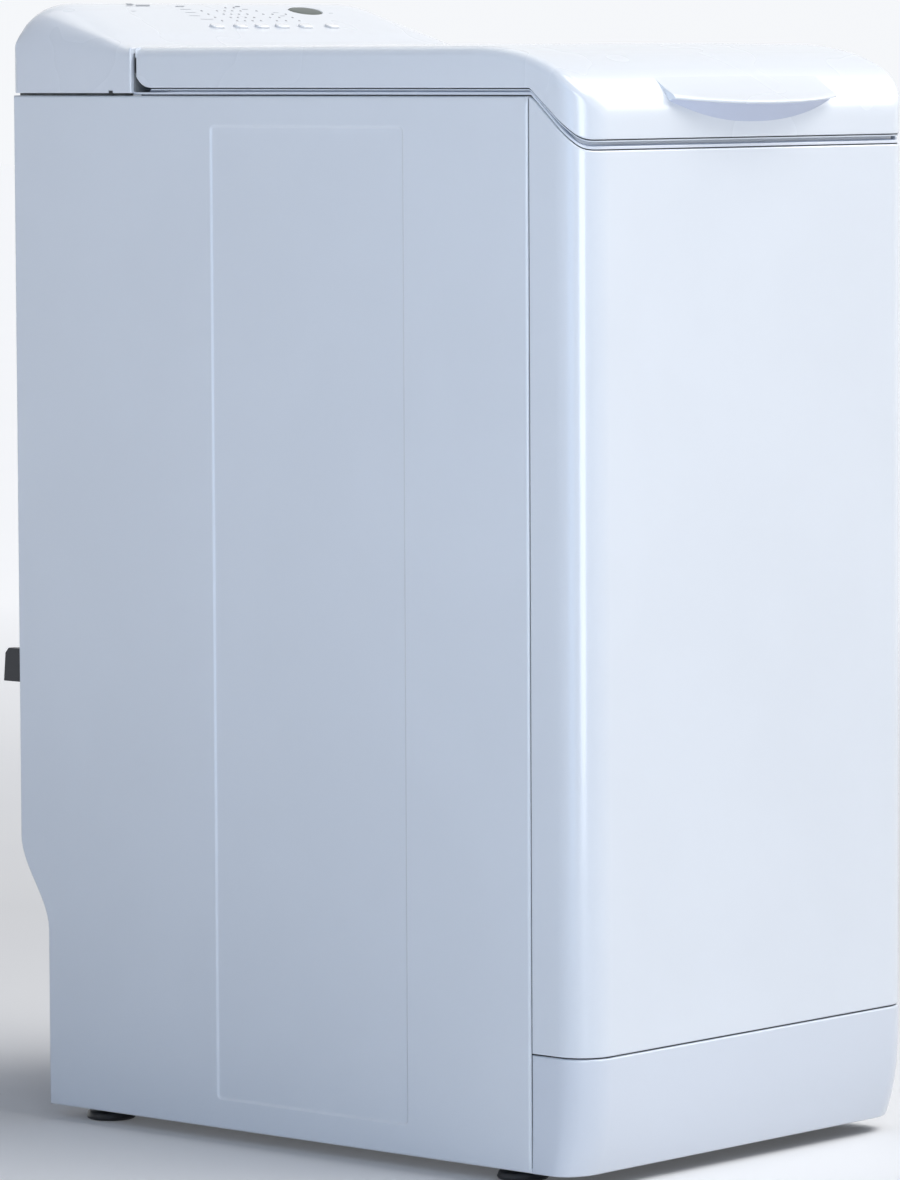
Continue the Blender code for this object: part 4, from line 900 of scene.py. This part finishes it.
def shade_cords_and_lid_rim():
    """Dark strips set back in the parting lines and in the console's notches, painted shade that makes the gaps
    read dark; a blue-grey bead on the deck's ledge, painted shade in the band under the lid's edge; and the bright
    rim of the lid's inner moulding.
    """
    rim, upper, lower = Shape(), Shape(), Shape()
    at_lid = 0.1465, LID_STEP_Y, LID_SIDE, LID_FRONT
    at_deck = 0.158, DECK_STEP_Y, SIDE_TOP, FRONT_TOP
    section = [(1.1, -0.9), (0.85, -1.1), (0.8, -1.4), (0.85, -1.7), (1.1, -1.9), (3.0, -1.9), (3.0, -0.9)]
    ribbon(rim, section, *at_lid)
    piece("lid_rim", rim, "lid", "white_plastic", INNER_WHITE)
    # A black strip just inside the lid's lower edge: painted shade in the gap between the lid and its rim.
    ribbon(upper, [(1.9, -0.1), (1.9, -0.8), (3.0, -0.8), (3.0, -0.1)], *at_lid)
    piece("lid_shade_cord", upper, "lid", "rubber", RUBBER_AND_SHADE)
    # A black strip under the deck's outer lip: painted shade in the gap between the deck and the panels.
    ribbon(lower, [(1.9, 0.1), (1.9, 0.8), (3.2, 0.8), (3.2, 0.1)], *at_deck)
    # The bead's blue-grey is painted shade: it stands for the shadowed band between the lid's edge and the deck's
    # ledge.
    bead = Shape()
    section = [(3.2, 3.15), (3.2, 3.7), (3.5, 3.85), (5.7, 3.85), (6.0, 3.7), (6.0, 3.15)]
    ribbon(bead, section, 0.15, *at_deck[1:])
    piece("deck_shade_bead", bead, "cabinet", "rubber", BEAD_SHADE_GREY)
    # A black band behind the seam between the front panel and the plinth: painted shade in that gap.
    path = wrap_path(SEAM - 3 * MM)
    outline = [(x - nx * 1.9 * MM, y - ny * 1.9 * MM) for x, y, nx, ny in path]
    outline += [(x - nx * 4.6 * MM, y - ny * 4.6 * MM) for x, y, nx, ny in reversed(path)]
    stacked(lower, Matrix(), [(outline, PLINTH_HIGH.z - 0.3 * MM), (outline, FRONT_LOW.z + 0.2 * MM)])
    # Black blocks as painted shade: in the side seams, in the gap under the console's sides and in the console's
    # notches.
    seam = 1.7, 6.5, (SEAM - 1.25 * MM, SKIRT + 4 * MM), (SEAM - 0.05 * MM, SIDE_TOP - 2 * MM)
    ledge = 1.6, 4.6, (0.170, SIDE_TOP + 0.1 * MM), (REAR - 7 * MM, CONSOLE_FOOT - 0.1 * MM)
    notch_shade = 0.7, 1.5, (0.1882, SIDE_TOP + 0.1 * MM), (0.1926, CONSOLE_FOOT + 1.9 * MM)
    for side in (-1, 1):
        for near, far, low, high in (seam, ledge, notch_shade):
            x0, x1 = on_side(side, HALF - near * MM, HALF - far * MM)
            lower.block((x0, *low), (x1, *high))
    piece("parting_shade_cords", lower, "cabinet", "rubber", RUBBER_AND_SHADE)


def top_deck():
    """A ledge that rests on the panels, a sealing bead on it, and a ramp up to the level plate."""
    sides = [0.28, 0.27, 0.22, 0.17, 0.155, 0.145, 0.136, 0.129, 0.122, 0.1, 0.05, 0.0]
    sides += [-0.05, -0.1, -0.15, -0.2, -0.23, *STEP_YS]
    plan = half_plan(REAR, 8 * MM, sides, FRONT, CORNER_R)
    outline = all_round(plan)
    profile = [(1.1, 0.9), (1.1, 2.4), (1.2, 2.75), (1.45, 3.0), (1.8, 3.1), (4.2, 3.1), (6.2, 3.12)]
    profile += [(6.5, 3.3), (6.6, 3.6), (6.7, 5.9), (6.9, 6.5), (7.4, 6.9), (8.0, 7.0), (8.6, 6.9)]
    profile += [(9.1, 6.5), (9.3, 5.9), (9.4, 3.6), (9.6, 2.9)]
    profile += [(inset, 2.5) for inset in (10.0, 12.0, 14, 16, 19, 22, 24)]

    def pull(y, inset):
        """Under the console the deck's edge keeps well inside the cabinet, which leaves a dark shadow gap."""
        return inset + (5.5 - inset) * smooth((y - 0.164) / 0.006) * 0.97

    def height(y, inset, rise):
        fade = 1 - smooth((y - 0.122) / 0.014)
        rise = min(rise, 2.5) + max(rise - 2.5, 0.0) * fade
        low = step_down(y, DECK_STEP_Y, SIDE_TOP, FRONT_TOP) + rise * MM
        return low + (LEVEL - low) * smooth((inset - 11) / 12)

    shape = Shape()
    rings = []
    for inset, rise in profile:
        ring = []
        for x, y, nx, ny in outline:
            i = pull(y, inset) * MM
            ring.append((x - nx * i, y - ny * i, height(y, inset, rise)))
        rings.append(ring)
    shape.skin(rings, closed=True)
    edge = [(x, y) for x, y, _ in rings[-1][: len(plan)]]
    shape.skin([[(-x * t, y, LEVEL) for t in COLUMNS] for x, y in edge])

    mouth, dispenser, latch = Shape(), Shape(), Shape()
    outline = rounded_outline(MOUTH_X + 1 * MM, MOUTH_Y + 1 * MM, 21 * MM)
    stacked(mouth, Matrix.Translation((0, MOUTH_MIDDLE, 0)), [(outline, 0.79), (outline, 0.84)])
    low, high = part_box("detergent_box")
    dispenser.block((low.x + 3.1 * MM, low.y + 3.1 * MM, 0.79), (high.x - 3.1 * MM, high.y - 2.6 * MM, 0.84))
    latch.block((-12 * MM, -272 * MM, 0.76), (12 * MM, -249 * MM, 0.86))
    tools, up = [mouth, dispenser, latch], Vector((0, 0, 1))
    piece("deck_skin", shape, "cabinet", "deck_plastic", DECK_GREY, ["top_deck"], 2.2 * MM, tools, face=up)


def mouth_parts():
    """The collar round the loading mouth and the bellows that runs down from it to the tub."""

    def ring(offset):
        around = rounded_outline(MOUTH_X + offset * MM, MOUTH_Y + offset * MM, (20 + offset) * MM, 10)
        return [(x, y + MOUTH_MIDDLE) for x, y in around]

    collar = Shape()
    section = [(0.0, 0.8003), (0.0, 0.8262), (0.15, 0.8271), (0.6, 0.8278), (1.2, 0.8280), (3.4, 0.8280)]
    section += [(4.1, 0.8277), (4.5, 0.8270), (4.6, 0.8262), (2.5, 0.8245), (2.5, 0.8003)]
    sweep(collar, ring, section)
    piece("mouth_collar", collar, "cabinet", "deck_plastic", DECK_GREY)

    gasket = Shape()
    outer = [(1.9, 0.7997), (1.9, 0.7965), (0.6, 0.794), (1.9, 0.7905), (0.5, 0.786), (1.9, 0.7815)]
    outer += [(0.5, 0.777), (1.9, 0.7725), (1.6, 0.769), (1.9, 0.7655)]
    inner = [(0.2, 0.7655), (0.0, 0.769), (0.2, 0.7727), (-1.6, 0.777), (0.2, 0.7813), (-1.6, 0.786)]
    inner += [(0.2, 0.7907), (-1.5, 0.794), (-1.7, 0.7965), (-1.2, 0.7997)]
    sweep(gasket, ring, outer + inner)
    bellows = piece("mouth_bellows", gasket, None, "rubber", GASKET_AND_SHADE_GREY, ["loading_gasket"])
    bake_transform(bellows)


def dispenser():
    """Three moulded pockets with rounded corners and a flange that rests on the deck."""
    low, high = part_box("detergent_box")
    shape = Shape()
    across, deep = (high.x - low.x) / 2, (high.y - low.y) / 2
    trunk = rounded_outline(across - 3 * MM, deep - 3 * MM, 6 * MM)
    flange = rounded_outline(across, deep, 4 * MM)
    under = high.z - 1.2 * MM
    layers = [(trunk, low.z), (trunk, under), (flange, under), (flange, high.z)]
    stacked(shape, Matrix.Translation((0, (low.y + high.y) / 2, 0)), layers)
    stops = [low.x + 3 * MM, -0.040, 0.050, high.x - 3 * MM]
    tools = []
    y0, y1 = low.y + 5.5 * MM, high.y - 5 * MM
    for left, right in zip(stops, stops[1:]):
        pocket = Shape()
        half = (right - left) / 2 - 2.5 * MM, (y1 - y0) / 2
        place = Matrix.Translation(((left + right) / 2, (y0 + y1) / 2, 0))
        floor = low.z + 3 * MM
        steps = [(4.5, floor), (2.2, floor + 0.7 * MM), (0.6, floor + 2.4 * MM)]
        steps += [(0.0, floor + 5 * MM), (0.0, 0.85)]
        stacked(pocket, place, [(inset_outline(half, i, 6), z) for i, z in steps])
        tools.append(pocket)
    nodes = ["detergent_box"]
    piece("dispenser_tray", shape, "cabinet", "white_plastic", INNER_WHITE, nodes, cuts=tools, bevel=0.5 * MM)


def softener_lid():
    """The softener pocket's cover: a dished plate with its hinge barrel."""
    low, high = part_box("softener_flap")
    flap = Shape()
    middle = (low + high) / 2
    place = Matrix.Translation((middle.x, middle.y, 0))
    half = (high.x - low.x) / 2, (high.y - low.y) / 2 - 1.0 * MM
    plate = middle.z + 0.1 * MM
    layers = [(0.4, -0.9), (0.0, -0.5), (0.0, 0.5), (0.3, 0.8), (2.0, 0.8), (2.6, 0.4), (6.0, 0.3)]
    stacked(flap, place, [(inset_outline(half, i, 7), plate + h * MM) for i, h in layers])
    hinge = frame_joint("softener_cover_hinge")
    width = high.x - low.x
    barrel = [(0, 0), (1.4 * MM, 0), (1.8 * MM, 0.4 * MM)]
    barrel += [(1.8 * MM, width - 0.4 * MM), (1.4 * MM, width), (0, width)]
    flap.turned((low.x, hinge.y, hinge.z), (1, 0, 0), barrel, 24)
    piece("softener_lid", flap, "softener_cover", "grey_plastic", GREY, ["softener_flap"])


def frame_joint(name):
    """Where a joint's axis passes, in metres."""
    for joint in frame["joints"]:
        if joint["name"] == name:
            return Vector(joint["pos_m"])
    raise KeyError(name)


def lid_inside():
    """The inner moulding: a wall just inside the lid's, a drip dome over the mouth, ribs and hinge arms."""
    inset, rear, drop = 3.1 * MM, 0.135, 1.8 * MM
    sides = [0.12, 0.08, 0.03, -0.03, -0.09, -0.15, -0.185, -0.20, -0.215, -0.23, *STEP_YS]
    plan = half_plan(rear, 4 * MM, sides, FRONT + inset, CORNER_R - inset, HALF - inset)

    def top(x, y):
        return lid_top(x, y) - inset - 0.2 * MM

    def edge(nx, ny):
        return 5 * MM * abs(nx) + 1 * MM * abs(ny)

    def foot(y, ny):
        return step_down(out_y(y, inset), LID_STEP_Y, LID_SIDE, LID_FRONT) - drop

    shape = Shape()
    cover(shape, plan, top, edge, foot, 2 * MM, lip=0.6 * MM)
    # A dark grey strip across the console's front wall: painted shade in the gap between the lid and the console.
    lid_gap_shade = Shape()
    wide = HALF - 3.5 * MM
    lid_gap_shade.block((-wide, CONSOLE_FRONT - 1.6 * MM, 0.8265), (wide, CONSOLE_FRONT + 0.5 * MM, 0.8565), 0.6 * MM)
    piece("console_gap_shade", lid_gap_shade, "cabinet", "rubber", GASKET_AND_SHADE_GREY)
    piece("lid_lining", shape, "lid", "white_plastic", INNER_WHITE, ["lid_liner"])

    dome = Shape()
    place = Matrix.Translation((0, MOUTH_MIDDLE, 0))
    ceiling = LID_TOP - inset - 2.3 * MM
    layers = [(-6, 1.2), (-1, 0.9), (0.6, 0.2), (1.2, -1.2), (1.4, -6.0), (1.9, -8.2)]
    layers += [(3.4, -9.6), (6, -10.2), (20, -11.0), (45, -12.2), (80, -13.0)]
    half = 0.126, 0.113
    stacked(dome, place, [(inset_outline(half, i, 30, 12), ceiling + h * MM) for i, h in layers])
    for x in (-0.165, -0.150, 0.150, 0.165):
        dome.block((x - 0.9 * MM, -0.17, ceiling - 6 * MM), (x + 0.9 * MM, 0.115, ceiling + 1 * MM), 0.4 * MM)
    for y in (-0.150, 0.112):
        low, high = (-0.185, y - 0.9 * MM, ceiling - 6 * MM), (0.185, y + 0.9 * MM, ceiling + 1 * MM)
        dome.block(low, high, 0.4 * MM)
    piece("lid_drip_dome", dome, "lid", "white_plastic", INNER_WHITE)

    arms = Shape()
    hinge = frame_joint("lid_hinge")
    for side in (-1, 1):
        x0, x1 = on_side(side, 0.160, 0.174)
        low, high = (x0, rear - 8 * MM, hinge.z + 1.4 * MM), (x1, hinge.y + 1 * MM, ceiling + 2.2 * MM)
        arms.block(low, high, 0.8 * MM)
        knuckle = [(3.1, 0), (4.9, 0), (5.4, 0.5), (5.4, 13.5), (4.9, 14), (3.1, 14), (3.1, 0)]
        arms.turned((x0, hinge.y, hinge.z), (1, 0, 0), in_mm(knuckle), 32)
    arms.block((-8 * MM, -263 * MM, 0.772), (8 * MM, -260 * MM, 0.842), 0.6 * MM)
    arms.block((-8 * MM, -266.5 * MM, 0.772), (8 * MM, -260.5 * MM, 0.778), 0.9 * MM)
    for x in (-6 * MM, 0.0, 6 * MM):
        arms.block((x - 0.8 * MM, -260.2 * MM, 0.785), (x + 0.8 * MM, -254 * MM, 0.842), 0.4 * MM)
    piece("lid_fittings", arms, "lid", "white_plastic", INNER_WHITE)

    for name, side in (("left", -1), ("right", 1)):
        post = Shape()
        x0, x1 = on_side(side, 0.1525, 0.1585)
        post.block((x0, hinge.y - 3.6 * MM, LEVEL + GAP), (x1, hinge.y + 3.6 * MM, hinge.z), 0.5 * MM)
        boss = [(0, 0), (4.7, 0), (5.2, 0.5), (5.2, 5.5), (4.7, 6), (0, 6)]
        post.turned((x0, hinge.y, hinge.z), (1, 0, 0), in_mm(boss), 32)
        pin = [(0, 0), (2.2, 0), (2.7, 0.5), (2.7, 19.4), (2.2, 20), (0, 20)]
        x0 = on_side(side, 0.157, 0.177)[0]
        post.turned((x0, hinge.y, hinge.z), (1, 0, 0), in_mm(pin), 24)
        piece(f"hinge_post_{name}", post, "cabinet", "zinc_steel", ZINC, [f"lid_hinge_{name}"])


# --- the rear and the underside ---
def screw_head(shape, centre):
    """A flanged pan head with a round socket, facing the rear."""
    radius, rise = 3.4 * MM, 1.0 * MM
    dome = [(1.0, 0.0), (1.0, 0.18), (0.86, 0.24), (0.82, 0.55), (0.70, 0.86), (0.48, 1.0)]
    socket = [(0.48, 1.0), (0.42, 1.0), (0.40, 0.25), (0, 0.2)]
    for profile in (dome, socket):
        shape.turned(centre, (0, 1, 0), [(r * radius, h * rise) for r, h in profile], 24)


def rear_panel():
    """A sheet between the side panels' folds, stiffened by pressed ribs."""
    low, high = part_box("rear_panel")
    half_x, corner = 0.135, 12 * MM
    ribs = [(0.640, 0.060), (0.470, 0.060), (0.305, 0.050)]
    bunch = [-6, -2.5, -1, 0.3, 1.5, 3, 6]
    xs = [low.x, high.x, 0.0, *[s * x for x in (0.05, 0.1, 0.16) for s in (-1, 1)]]
    xs = sorted(xs + [s * (half_x - o * MM) for o in bunch for s in (-1, 1)])
    zs = [low.z, 0.05, 0.09, 0.13, *spread(RECESS_LOW, RECESS_HIGH, 13), high.z, 0.72, 0.79]
    for z, half in ribs:
        zs += [z, *[z + s * (half - o * MM) for o in bunch for s in (-1, 1)]]
    zs = sorted(zs)

    def pressed(x, z):
        depth = 0.0
        for middle, half in ribs:
            u, v = abs(x) - (half_x - corner), abs(z - middle) - (half - corner)
            outside = math.hypot(max(u, 0.0), max(v, 0.0)) + min(max(u, v), 0.0) - corner
            depth = max(depth, 3.0 * MM * smooth(-outside / (5 * MM)))
        return depth

    shape = Shape()
    shape.skin([[(x, rear_line(z) - 1.5 * MM - pressed(x, z), z) for x in xs] for z in zs])
    holes = []
    for node, radius in (("inlet_valve", 13.6), ("cord_gland", 9.5)):
        middle = middle_of(node)
        hole = Shape()
        drill = [(0, 0), (radius * MM, 0), (radius * MM, 0.04), (0, 0.04)]
        hole.turned((middle.x, 0.28, middle.z), (0, 1, 0), drill, 48)
        holes.append(hole)
    back = Vector((0, 1, 0))
    piece("rear_sheet", shape, "cabinet", "side_enamel", ENAMEL, ["rear_panel"], SHEET, holes, face=back)


def rear_fixings():
    """The rear sheet's screws and the caps over the transit holes."""
    screws = Shape()
    for side in (-1, 1):
        for z in (0.262, 0.44, 0.62, 0.80):
            screw_head(screws, (side * 0.1915, REAR, z))
        for z in (0.045, 0.120):
            screw_head(screws, (side * 0.1915, rear_line(z), z))
    for x in (-0.155, -0.05, 0.05, 0.155):
        screw_head(screws, (x, REAR - 1.5 * MM, 0.812))
    piece("rear_screws", screws, "cabinet", "zinc_steel", ZINC)

    caps = Shape()
    profile = [(0, 2.4), (4, 2.3), (7.5, 1.8), (8.6, 1.0), (8.8, -1.4), (0, -1.4)]
    for x, z in ((-0.172, 0.546), (0.172, 0.546), (-0.172, 0.285), (0.172, 0.285)):
        caps.turned((x, REAR, z), (0, 1, 0), in_mm(profile), 32)
    piece("transit_caps", caps, "cabinet", "white_plastic", INNER_WHITE)


def rear_fittings():
    """The water inlet with its thread and the boot round the mains cord's entry."""
    low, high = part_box("inlet_valve")
    middle = (low + high) / 2
    valve = Shape()
    half = Vector((20 * MM, 0, 17 * MM))
    near, far = Vector((middle.x, low.y, middle.z)) - half, Vector((middle.x, 0.290, middle.z)) + half
    valve.block(near, far, 2 * MM)
    coil = [(0, 0), (9, 0), (9, 16.2), (8.4, 16.8), (0, 16.8)]
    valve.turned((middle.x, 0.266, middle.z), (0, 0, 1), in_mm(coil), 32)
    profile = [(9.5, 292), (9.5, high.y / MM), (11.2, high.y / MM), (11.9, high.y / MM - 0.7)]
    y = high.y / MM - 1.2
    while y > 301.5:
        profile += [(13.0, y), (13.0, y - 0.5), (11.9, y - 1.0), (11.9, y - 1.4)]
        y -= 1.9
    profile += [(11.9, 300), (13.0, 299.6), (13.0, 288), (0, 288)]
    valve.turned((middle.x, 0, middle.z), (0, 1, 0), in_mm([(0, 292), *profile]), 40)
    piece("inlet_fitting", valve, "cabinet", "white_plastic", INNER_WHITE, ["inlet_valve"])

    gland = Shape()
    middle = middle_of("cord_gland")
    profile = [(4.5, 290), (9.0, 290), (9.0, 299.5), (12.0, 299.5)]
    profile += [(12.5, 300), (12.5, 302), (12.0, 302.6), (8.0, 304.5)]
    for y in (306, 308.4, 310.8):
        profile += [(7.9, y), (7.9, y + 0.9), (6.6, y + 1.1), (6.6, y + 2.2)]
    profile += [(6.5, 314.4), (5.9, 315), (4.5, 315), (4.5, 290)]
    gland.turned((middle.x, 0, middle.z), (0, 1, 0), in_mm(profile), 40)
    piece("gland_boot", gland, "cabinet", "black_plastic", BLACK, ["cord_gland"])


def feet():
    """Four levelling feet: a pad, a six-sided nut and a threaded stud."""
    pad = [(0, 0), (17.6, 0), (18.8, 0.4), (19.6, 1.2), (20, 2.4), (19.4, 3.4), (19.2, 4.2), (18.6, 5.8)]
    pad += [(17.4, 6.9), (12, 7.8), (9, 8.6), (9, 9.2)]
    nut = [(0, 9.1), (8.3, 9.1), (9, 9.6), (9, 12), (8.3, 12.5), (0, 12.5)]
    stud = [(0, 12)]
    h = 12.5
    while h < 44.5:
        stud += [(4.3, h), (5.0, h + 0.6), (5.0, h + 0.8), (4.3, h + 1.4)]
        h += 1.6
    stud += [(4.2, 45.2), (3.4, 46), (0, 46)]
    for name in ("front_left", "front_right", "rear_left", "rear_right"):
        middle = middle_of(f"foot_{name}")
        shape = Shape()
        for profile, sides in ((pad, 48), (nut, 6), (stud, 24)):
            shape.turned((middle.x, middle.y, 0), (0, 0, 1), in_mm(profile), sides)
        body, node = f"foot_{name}_body", f"foot_{name}"
        piece(f"levelling_foot_{name}", shape, body, "black_plastic", BLACK, [node])


# --- the tub's springs and its sump hose ---
def springs():
    """The two coils that the tub hangs from."""
    turns, per_turn, wire, radius, ring = 9, 24, 1.4 * MM, 10 * MM, 10
    for name in ("left", "right"):
        low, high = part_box(f"spring_{name}")
        middle = (low + high) / 2
        foot, top = low.z + wire, high.z - wire
        route = []
        for i in range(turns * per_turn + 1):
            share = i / (turns * per_turn)
            a = 2 * math.pi * i / per_turn
            eased = smooth(share) * 0.25 + share * 0.75
            x, y = middle.x + radius * math.cos(a), middle.y + radius * math.sin(a)
            route.append(Vector((x, y, foot + (top - foot) * eased)))
        shape = Shape()
        rows = tube_rows(route, wire, ring)
        shape.skin(rows, closed=True)
        shape.cap(rows[0])
        shape.cap(rows[-1])
        coil = piece(f"tub_coil_{name}", shape, None, "spring_steel", SPRING_STEEL, [f"spring_{name}"])
        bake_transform(coil)


def sump_bellows():
    """The folded hose from the tub's sump down to the pump."""
    low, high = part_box("sump_hose")
    middle = (low + high) / 2
    folds = 7
    pitch = (high.z - low.z) / folds
    outside, inside = [], []
    for i in range(folds):
        z = low.z + i * pitch
        for share, swell in ((0.0, 0.0), (0.18, 0.3), (0.32, 2.9), (0.5, 4.0), (0.68, 2.9), (0.82, 0.3)):
            outside.append(((14 + swell) * MM, z + share * pitch))
            inside.append(((11 + swell) * MM, z + share * pitch))
    outside.append((14 * MM, high.z))
    inside.append((11 * MM, high.z))
    shape = Shape()
    shape.turned((middle.x, middle.y, 0), (0, 0, 1), [*outside, *inside[::-1], outside[0]], 40)
    hose = piece("sump_bellows", shape, None, "rubber", RUBBER_AND_SHADE, ["sump_hose"])
    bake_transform(hose)


def tube_rows(route, radius, sides):
    """Rings of points along a route of Vectors."""
    rows = []
    for i, point in enumerate(route):
        along = (route[min(i + 1, len(route) - 1)] - route[max(i - 1, 0)]).normalized()
        across = along.cross(Vector((0, 0, 1))).normalized()
        up = across.cross(along)
        angles = [2 * math.pi * k / sides for k in range(sides)]
        rows.append([point + (across * math.cos(a) + up * math.sin(a)) * radius for a in angles])
    return rows


# --- camera, light and floor ---
def camera():
    """The camera that was fitted to the photograph."""
    made = bpy.data.cameras.new("camera")
    made.sensor_width = 36.0
    made.lens = 198.7
    made.clip_start, made.clip_end = 0.1, 200.0
    thing = bpy.data.objects.new("camera", made)
    bpy.context.scene.collection.objects.link(thing)
    place = Vector((-3.8766, -3.4284, 0.8571))
    yaw, pitch, roll = math.radians(48.41), math.radians(4.73), math.radians(0.27)
    turn = Matrix.Rotation(-yaw, 4, "Z") @ Matrix.Rotation(math.pi / 2 - pitch, 4, "X")
    thing.matrix_world = Matrix.Translation(place) @ (turn @ Matrix.Rotation(-roll, 4, "Z"))
    bpy.context.scene.camera = thing


def light(name, place, aim, size, power, colour=(1.0, 1.0, 1.0)):
    made = bpy.data.lights.new(name, "AREA")
    made.shape = "RECTANGLE"
    made.size, made.size_y = size
    made.energy = power
    made.color = colour
    thing = bpy.data.objects.new(name, made)
    bpy.context.scene.collection.objects.link(thing)
    thing.location = place
    thing.rotation_mode = "QUATERNION"
    thing.rotation_quaternion = (Vector(aim) - Vector(place)).to_track_quat("-Z", "Y")
    thing.visible_camera = False


def studio():
    """The sun, four cards and a white surround."""
    sun = bpy.data.lights.new("overhead", "SUN")
    sun.energy = 1.75
    sun.angle = math.radians(35)
    sun.color = (1.0, 0.995, 0.985)
    thing = bpy.data.objects.new("overhead", sun)
    bpy.context.scene.collection.objects.link(thing)
    thing.rotation_mode = "QUATERNION"
    thing.rotation_quaternion = Vector((-0.7, 1.5, -3.0)).to_track_quat("-Z", "Y")

    light("side_card", (-1.9, -0.62, 0.9), (-0.2, -0.1, 0.45), (0.6, 2.0), 4.0, (0.27, 0.56, 1.0))
    light("corner_card", (-1.95, -2.15, 0.9), (-0.18, -0.29, 0.45), (0.8, 2.0), 25.0, (0.84, 0.91, 1.0))
    light("key_box", (1.9, -1.0, 2.3), (0.0, -0.1, 0.8), (1.8, 1.8), 30.0)
    light("top_card", (0.2, 0.55, 2.2), (0.0, 0.1, 0.85), (1.2, 1.2), 2.8, (1.0, 0.96, 0.88))

    world = bpy.data.worlds.new("studio")
    bpy.context.scene.world = world
    world.use_nodes = True
    nodes, links = world.node_tree.nodes, world.node_tree.links
    nodes.clear()
    seen, cast = nodes.new("ShaderNodeBackground"), nodes.new("ShaderNodeBackground")
    seen.inputs["Color"].default_value = (0.92, 0.935, 0.96, 1.0)
    cast.inputs["Color"].default_value = (0.50, 0.66, 1.0, 1.0)
    cast.inputs["Strength"].default_value = 0.09
    path, mix = nodes.new("ShaderNodeLightPath"), nodes.new("ShaderNodeMixShader")
    out = nodes.new("ShaderNodeOutputWorld")
    both = nodes.new("ShaderNodeMath")
    both.operation = "MAXIMUM"
    links.new(path.outputs["Is Camera Ray"], both.inputs[0])
    links.new(path.outputs["Is Glossy Ray"], both.inputs[1])
    links.new(both.outputs["Value"], mix.inputs["Fac"])
    links.new(cast.outputs["Background"], mix.inputs[1])
    links.new(seen.outputs["Background"], mix.inputs[2])
    links.new(mix.outputs["Shader"], out.inputs["Surface"])


def studio_floor():
    """A round sheet of pale paper that glows more the further it lies from the machine."""
    floor = Shape()
    reach = [0.0, 0.6, 1.5, 4.0, 12.0, 45.0]
    floor.turned((0, 0, 0), (0, 0, 1), [(r, 0.0) for r in reach], 64)
    bmesh.ops.remove_doubles(floor.cage, verts=floor.cage.verts, dist=1e-6)
    mesh = bpy.data.meshes.new("studio_floor")
    floor.cage.to_mesh(mesh)
    floor.cage.free()
    ground = bpy.data.objects.new("studio_floor", mesh)
    bpy.context.scene.collection.objects.link(ground)
    paper = Finish("studio_paper", (0.74, 0.74, 0.75), 0.9, specular=0.1)
    paper.drift(paper.ramp(paper.noise(0.6, 2.0), 0.0, 1.0), (0.755, 0.755, 0.76))
    paper.sockets(Emission_Color=(0.97, 0.98, 1.0, 1.0))
    away = paper.add("ShaderNodeVectorMath")
    away.operation = "LENGTH"
    paper.links.new(paper.add("ShaderNodeNewGeometry").outputs["Position"], away.inputs[0])
    glow = paper.add("ShaderNodeMapRange", From_Min=1.4, From_Max=5.0, To_Min=0.07, To_Max=0.50)
    paper.links.new(away.outputs["Value"], glow.inputs["Value"])
    paper.links.new(glow.outputs["Result"], paper.shader.inputs["Emission Strength"])
    mesh.materials.append(paper.material)
    bpy.context.scene.view_settings.view_transform = "Standard"


camera()
studio()
studio_floor()
front_panel()
plinth()
side_panel(-1)
side_panel(1)
lid_cover()
lid_handle()
lid_inside()
top_deck()
mouth_parts()
shade_cords_and_lid_rim()
dispenser()
softener_lid()
console()
button_caps()
console_details()
rear_panel()
rear_fixings()
rear_fittings()
feet()
springs()
sump_bellows()

for row in frame["record"]["subparts"]:
    node = frame["nodes"].get(row.get("node"))
    if node is not None:
        node.data.materials.clear()
        node.data.materials.append(FINISHES[row["material_slot"]])
        soften(node, 0.5 * MM, weld=True)
